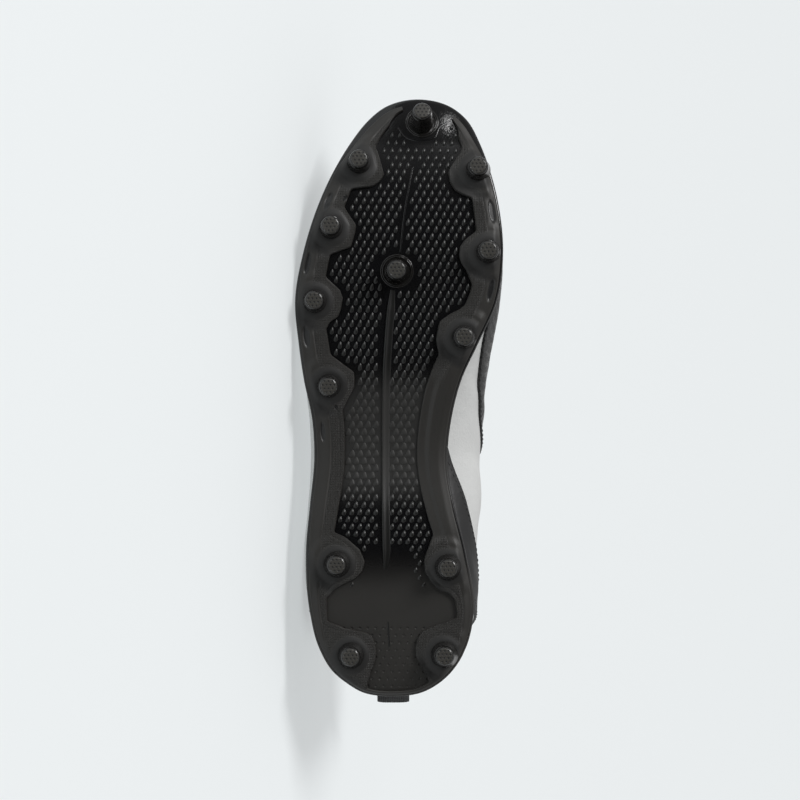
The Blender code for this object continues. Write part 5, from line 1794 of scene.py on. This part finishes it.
def tongue_section(along, wing, inner):
    """Across the throat, under the upper's lips. Ahead of the throat it slides on under the vamp."""
    past = max(along - THROAT_FRONT_MEDIAL, 0.0) * SOLE_LENGTH
    turn_m = turn_under_top(MEDIAL, min(along, THROAT_FRONT_MEDIAL))
    turn_l = turn_under_top(LATERAL, THROAT_FRONT_LATERAL if past else along)
    shift = np.array([past, 0, -TONGUE_DROOP * past])
    shares = np.array([wing, (wing + 1) / 2, 1.0])
    lateral = over_upper(turn_l, shares, -inner)
    medial = over_upper(turn_m, shares[::-1], -inner)
    crown = (lateral[-1:] + medial[:1]) / 2 + UP * TONGUE_CROWN
    top = np.concatenate([lateral, crown, medial]) + shift
    down = UP * -TONGUE_THICKNESS
    bottom = (top[1:-1] + down)[::-1]
    return np.concatenate([top, top[-1:] + down * 0.6, bottom, top[:1] + down * 0.6])


def build_tongue():
    inner = UPPER_WALL + TONGUE_CLEARANCE
    sections = []
    for share in np.linspace(0, 1, TONGUE_SECTIONS):
        reach = float(ease(share_between(share, 0.6, 1.0)))
        wing = TONGUE_WING.low + (TONGUE_WING.high - TONGUE_WING.low) * reach
        sections.append(tongue_section(TONGUE_FRONT + (TONGUE_BACK - TONGUE_FRONT) * share, wing, inner))
    last = sections[-1]
    centre = last[:, 1].mean()
    ups = np.linspace(0.14, 1.0, 14)
    widths = np.interp(ups, [s.up for s in TONGUE_STAND], [s.width for s in TONGUE_STAND])
    for up, width in zip(ups, widths):
        section = last + TONGUE_LEAN * (TONGUE_TOP * up)
        section[:, 1] = centre + (section[:, 1] - centre) * width
        sections.append(section)
    grid = closed_curve(np.array(sections), 4)
    middle = grid.mean(axis=1, keepdims=True)
    low = [middle[:1] + (grid[:1] - middle[:1]) * s for s in (0.05, 0.8)]
    end = grid[-1:] - middle[-1:]
    high = [middle[-1:] + end * s + TONGUE_LEAN * (TONGUE_DOME * (1 - s)) for s in (0.85, 0.6, 0.05)]
    mesh = grid_mesh("tongue_pad", np.concatenate([*low, grid, *high]), round_columns=True)
    made = hang("tongue_pad", mesh, TONGUE_MESH, ["tongue"])
    return made


TONGUE = build_tongue()
print("tongue:", len(TONGUE.data.polygons), "faces")

# %% [markdown]
# ## Insole and pull tab
# The insole is a die-cut sheet of EVA foam with a fabric top, which cups up a little at its edge. The
# pull tab is nylon webbing, 16 mm wide and a millimetre thick, sewn flat on the heel, folded over above
# the collar and sewn down again underneath, so it makes a small loop.

# %% Insole
INSOLE_THICKNESS = 0.0040
INSOLE_CUP = 0.0015
INSOLE_INSET = UPPER_INSET + UPPER_WALL + 0.0008


def build_insole():
    turns = crowded(np.linspace(0, 2, 200, endpoint=False))
    low = PLATE_THICKNESS + GAP
    high = low + INSOLE_THICKNESS
    rings = [
        inner_point(turns, 0.0, INSOLE_INSET, low),
        edge_point(turns, INSOLE_INSET + 0.0004, low),
        edge_point(turns, INSOLE_INSET, low + 0.0006),
        edge_point(turns, INSOLE_INSET, high + INSOLE_CUP - 0.0005),
        edge_point(turns, INSOLE_INSET + 0.0006, high + INSOLE_CUP),
        inner_point(turns, 0.93, INSOLE_INSET, high + INSOLE_CUP * 0.55),
        inner_point(turns, 0.86, INSOLE_INSET, high + INSOLE_CUP * 0.15),
        inner_point(turns, 0.80, INSOLE_INSET, high),
        inner_point(turns, 0.40, INSOLE_INSET, high),
        inner_point(turns, 0.0, INSOLE_INSET, high),
    ]
    mesh = grid_mesh("insole_sheet", np.array(rings), round_columns=True, flip=True)
    made = hang("insole_sheet", mesh, COLLAR_KNIT, ["insole"])
    return made


INSOLE = build_insole()
print("insole:", len(INSOLE.data.polygons), "faces")

# %% Pull tab
TAB_WIDTH = 0.016
TAB_THICKNESS = 0.0024
TAB_RISE = 0.005
TAB_LEAN = 0.0165
TAB_ROWS = (0.62, 0.72, 0.82, 0.92, 1.0)
WEBBING = 0.00100
RIB_PITCH = 0.0012
PICK_PITCH = 0.0009


def webbing_material():
    made, tree, shader = new_material("Nylon webbing woven black", "#19191A", 0.7, IOR=1.53)
    shader.inputs["Sheen Weight"].default_value = 0.2
    sides = split(tree, metres(tree))
    ribs = sine(tree, sides[0], RIB_PITCH)
    shaded_weave = maths(tree, "MULTIPLY_ADD", sine(tree, sides[1], PICK_PITCH), 0.5, ribs)
    # The ribs are painted lighter and the hollows between them darker: painted highlight and painted shade
    colour = blend(tree, shaded_weave, "#121213", "#2B2B2D")
    wire(shader, Base_Color=colour, Normal=bumped(tree, shaded_weave, 0.0002, 0.7))
    return made


TAB_WEBBING = webbing_material()


def build_tab():
    columns = 11
    rows = []
    for v in TAB_ROWS:
        near = over_upper(np.array([2.0, 2.01]), v, LAYER_GAP)
        step = np.linalg.norm(near[1] - near[0]) / 0.01
        turns = 2 + TAB_WIDTH / 2 / step * np.linspace(-1, 1, columns)
        rows.append(over_upper(turns, v, LAYER_GAP))
    loop = np.array([-TAB_LEAN, 0, CUFF_ROLL + TAB_RISE - 0.0012])
    rows += [rows[-1] + loop * share for share in (0.5, 1.0)]
    lines = np.array(rows).transpose(1, 0, 2)
    surface = np.array([smooth_path(line, 24) for line in lines]).transpose(1, 0, 2)
    out = unit(np.cross(np.gradient(surface, axis=0), np.gradient(surface, axis=1)))
    rise = unit(np.gradient(surface, axis=0))[-1]
    high = TAB_THICKNESS - WEBBING / 2
    low = WEBBING / 2
    middle = (high + low) / 2
    path = [surface + out * high]
    facing = [out]
    for angle in np.linspace(0, math.pi, 9)[1:-1]:
        swing = out[-1] * math.cos(angle) + rise * math.sin(angle)
        path.append((surface[-1] + out[-1] * middle + swing * (high - middle))[None])
        facing.append(swing[None])
    path.append((surface + out * low)[::-1])
    facing.append(-out[::-1])
    path = np.concatenate(path)
    facing = np.concatenate(facing)
    thin = np.array([0.45, 0.9, *[1.0] * (columns - 4), 0.9, 0.45])[None, :, None] * WEBBING / 2
    grid = np.concatenate([path + facing * thin, (path - facing * thin)[:, ::-1]], axis=1)
    mesh = grid_mesh("pull_tab_webbing", grid, round_columns=True)
    made = hang("pull_tab_webbing", mesh, TAB_WEBBING, ["pull_tab"])
    outer = path[:25]
    face = facing[:25]
    rows = []
    for column in (1, columns - 2):
        rows += stitches(outer[1:14, column] + face[1:14, column] * WEBBING / 2, face[1:14, column])
    for row in (1, 13):
        rows += stitches(outer[row, 1:-1] + face[row, 1:-1] * WEBBING / 2, face[row, 1:-1])
    hang("pull_tab_stitches", joined("pull_tab_stitches", rows), GREY_THREAD)
    return made


TAB = build_tab()
print("pull tab:", len(TAB.data.polygons), "faces")

# %% [markdown]
# ## Eyelets and lace
# The eyelets are moulded rings round punched holes. The lace is flat woven polyester, 6 mm wide. It
# comes up through an eyelet, lies flat over the lip, crosses to the other side and dives into the next
# pair. Where two runs cross, one rides over the other. Its last runs dive into the top eyelets.

# %% Eyelets
EYELETS_A_SIDE = 6
EYELETS_FRONT = 0.668
EYELETS_BACK = 0.388
EYELET_UP = 0.912
EYELET_RADIUS = 0.0038
EYELET_BORE = 0.0022
EYELET_HEIGHT = 0.0008
LACE_LIP = 0.985


def eyelet_place(side, k):
    along = EYELETS_FRONT + (EYELETS_BACK - EYELETS_FRONT) * k / (EYELETS_A_SIDE - 1)
    return float(turn_under_top(side, along)), EYELET_UP


def ring_material():
    made, tree, shader = new_material("Acetal moulded satin black", "#1C1C1D", 0.3, IOR=1.48)
    wire(shader, Roughness=ramp(tree, noise(tree, object_place(tree), 1500.0, 2.0), 0.22, 0.4))
    return made


RING_ACETAL = ring_material()


def eyelet_mesh():
    """A rounded ring, with a floor that drops into the dark hole."""
    middle = (EYELET_RADIUS + EYELET_BORE) / 2
    half = (EYELET_RADIUS - EYELET_BORE) / 2
    profile = [(EYELET_RADIUS, -0.0006)]
    for angle in np.linspace(0, math.pi, 9):
        profile.append((middle + half * math.cos(angle), EYELET_HEIGHT * math.sin(angle) ** 0.7))
    profile += [(EYELET_BORE, -0.0012), (0.0001, -0.0013)]
    profile = np.array(profile)
    angles = np.linspace(0, 2 * math.pi, 32, endpoint=False)
    grid = np.empty((len(profile), 32, 3))
    grid[..., 0] = profile[:, :1] * np.cos(angles)
    grid[..., 1] = profile[:, :1] * np.sin(angles)
    grid[..., 2] = profile[:, 1:]
    return grid_mesh("eyelet_ring", grid, round_columns=True)


def build_eyelets():
    mesh = eyelet_mesh()
    for side, word in ((MEDIAL, "medial"), (LATERAL, "lateral")):
        for k in range(EYELETS_A_SIDE):
            turn, v = eyelet_place(side, k)
            out = Vector(upper_normal(turn, v))
            foot = Vector(over_upper(turn, v, LAYER_OUT))
            place = Matrix.Translation(foot) @ out.to_track_quat("Z", "X").to_matrix().to_4x4()
            name = f"eyelet_{word}_{k + 1}"
            hang(name + "_ring", mesh, RING_ACETAL, [name], place)


build_eyelets()

# %% Lace
LACE_WIDTH = 0.0062
LACE_THICKNESS = 0.0013
LACE_CROWN = 0.0012
LACE_OVER = 0.0014
LACE_STEPS = 44
LACE_NARROW = 0.62
THREAD_PITCH = 0.0008


def lace_material():
    made, tree, shader = new_material("Polyester lace woven white", "#DEDFDF", 0.75, IOR=1.53)
    shader.inputs["Sheen Weight"].default_value = 0.25
    sides = split(tree, metres(tree))
    slants = [maths(tree, operation, sides[0], sides[1]) for operation in ("ADD", "SUBTRACT")]
    shaded_weave = maths(tree, "MAXIMUM", *[sine(tree, slant, THREAD_PITCH) for slant in slants])
    # The threads' crests are painted lighter and the grooves darker: painted highlight and painted shade
    colour = blend(tree, shaded_weave, "#BFC0C1", "#ECEDED")
    wire(shader, Base_Color=colour, Normal=bumped(tree, shaded_weave, 0.00022, 0.8))
    return made


LACE_WEAVE = lace_material()


def lace_run(start, end, over):
    """One crossing: out of one eyelet, over both lips and down into the other eyelet."""
    (turn_a, v_a), (turn_b, v_b) = start, end
    height = LAYER_OUT + EYELET_HEIGHT + 0.0006 + LACE_THICKNESS / 2
    hole_a = over_upper(turn_a, v_a, LAYER_OUT - 0.0004)
    hole_b = over_upper(turn_b, v_b, LAYER_OUT - 0.0004)
    rim_a = over_upper(turn_a, v_a + (LACE_LIP - v_a) * 0.35, height)
    rim_b = over_upper(turn_b, v_b + (LACE_LIP - v_b) * 0.35, height)
    lip_a = over_upper(turn_a, LACE_LIP, height)
    lip_b = over_upper(turn_b, LACE_LIP, height)
    middle = (lip_a + lip_b) / 2 + UP * (TONGUE_CROWN + LACE_CROWN + over)
    near_a = lip_a + (lip_b - lip_a) * 0.06
    near_b = lip_b + (lip_a - lip_b) * 0.06
    path = smooth_path([hole_a, rim_a, near_a, middle, near_b, rim_b, hole_b], LACE_STEPS)
    facing = np.array([upper_normal(turn_a, v_a), UP, upper_normal(turn_b, v_b)])
    share = np.linspace(0, 1, len(path))
    out = np.stack([np.interp(share, [0, 0.5, 1], facing[:, i]) for i in range(3)], axis=-1)
    ahead = unit(np.gradient(path, axis=0))
    side = unit(np.cross(ahead, out))
    thick = np.cross(side, ahead)
    gathered = LACE_NARROW + (1 - LACE_NARROW) * ease(np.minimum(share, 1 - share) / 0.16)
    angle = np.linspace(0, 2 * math.pi, 16, endpoint=False)
    across = np.sign(np.cos(angle)) * np.abs(np.cos(angle)) ** 0.6 * LACE_WIDTH / 2
    deep = np.sign(np.sin(angle)) * np.abs(np.sin(angle)) ** 0.8 * LACE_THICKNESS / 2
    grid = path[:, None] + side[:, None] * (across * gathered[:, None])[..., None]
    return grid + thick[:, None] * (deep + 0 * gathered[:, None])[..., None]


def build_lace():
    runs = [lace_run(eyelet_place(MEDIAL, 0), eyelet_place(LATERAL, 0), 0.0)]
    for k in range(EYELETS_A_SIDE - 1):
        runs.append(lace_run(eyelet_place(MEDIAL, k), eyelet_place(LATERAL, k + 1), 0.0))
        runs.append(lace_run(eyelet_place(LATERAL, k), eyelet_place(MEDIAL, k + 1), LACE_OVER))
    meshes = [grid_mesh(f"lace_run_{i}", run, round_columns=True) for i, run in enumerate(runs)]
    parts = [bpy.data.objects.new(mesh.name, mesh) for mesh in meshes]
    for part in parts:
        bpy.context.collection.objects.link(part)
    with bpy.context.temp_override(active_object=parts[0], selected_editable_objects=parts):
        bpy.ops.object.join()
    whole = parts[0].data
    bpy.data.objects.remove(parts[0])
    whole.name = "lace_woven"
    return hang("lace_woven", whole, LACE_WEAVE, ["lace"])


LACE = build_lace()
print("lace:", len(LACE.data.polygons), "faces")

# %% [markdown]
# ## Floor and light
# The shoe lies on its lateral side on a sheet of white acrylic lit from below, which keeps the ground
# even and pale right up to the shoe, as a product photographer does it. A soft sun from the toe's side
# and above models the studs, two small lamps draw the gloss on the toe, and an even sky fills the rest.
# A dark card in that sky, straight ahead of the sole, keeps the gloss black.

# %% Floor
FLOOR_SIZE = 12.0
FLOOR_COLOUR = "#A9ACAD"
FLOOR_GLOW = "#EAEEEF"
GLOW_STRENGTH = 0.52


def build_floor():
    corners = [(-1, -1), (1, -1), (1, 1), (-1, 1)]
    mesh = bpy.data.meshes.new("floor")
    mesh.from_pydata([(x * FLOOR_SIZE, y * FLOOR_SIZE, 0) for x, y in corners], [], [(0, 1, 2, 3)])
    made = bpy.data.objects.new("floor", mesh)
    bpy.context.collection.objects.link(made)
    paper, _, shader = new_material("Acrylic sheet lit from below", FLOOR_COLOUR, 0.9)
    shader.inputs["Emission Color"].default_value = linear(FLOOR_GLOW)
    shader.inputs["Emission Strength"].default_value = GLOW_STRENGTH
    mesh.materials.append(paper)


build_floor()

# %% Light
Lamp = namedtuple("Lamp", "name place size power")
LAMPS = (
    Lamp("softbox for the toe", (-1.42, -1.38, 0.80), 0.28, 4.4),
    Lamp("strip for the studs", (-0.9, -0.9, 1.6), 0.26, 2.6),
)
SUN_FROM = (-0.8, -0.5, 1.0)
SUN_STRENGTH = 2.0
SUN_ANGLE = 22.0
SKY_STRENGTH = 0.56
# A dark card in the sky, straight ahead of the sole: where its edge starts and ends, and how dark it is
CARD_TOWARDS = (0.0, -0.97, 0.24)
CARD_EDGE = (0.40, 0.86)
CARD_SHADE = 0.02


def add_light(kind, name, place, aim, **settings):
    data = bpy.data.lights.new(name, kind)
    for key, value in settings.items():
        setattr(data, key, value)
    lamp = bpy.data.objects.new(name, data)
    bpy.context.collection.objects.link(lamp)
    lamp.location = place
    lamp.rotation_euler = (Vector(aim) - Vector(place)).to_track_quat("-Z", "Y").to_euler()
    return lamp


def light_scene():
    for lamp in LAMPS:
        add_light("AREA", lamp.name, lamp.place, (0, 0, 0.05), size=lamp.size, energy=lamp.power)
    add_light("SUN", "key", SUN_FROM, (0, 0, 0), energy=SUN_STRENGTH, angle=math.radians(SUN_ANGLE))
    world = bpy.data.worlds.new("studio")
    world.use_nodes = True
    tree = world.node_tree
    sky = tree.nodes["Background"]
    sky.inputs["Strength"].default_value = SKY_STRENGTH
    place = node(tree, "ShaderNodeTexCoord").outputs["Generated"]
    card = vector_maths(tree, "DOT_PRODUCT", place, CARD_TOWARDS)
    shade = {0: card, 1: CARD_EDGE[0], 2: CARD_EDGE[1], 3: 1.0, 4: CARD_SHADE}
    shade = node(tree, "ShaderNodeMapRange", shade).outputs[0]
    tree.links.new(shade, sky.inputs["Color"])
    bpy.context.scene.world = world
    bpy.context.scene.view_settings.view_transform = "Standard"


light_scene()
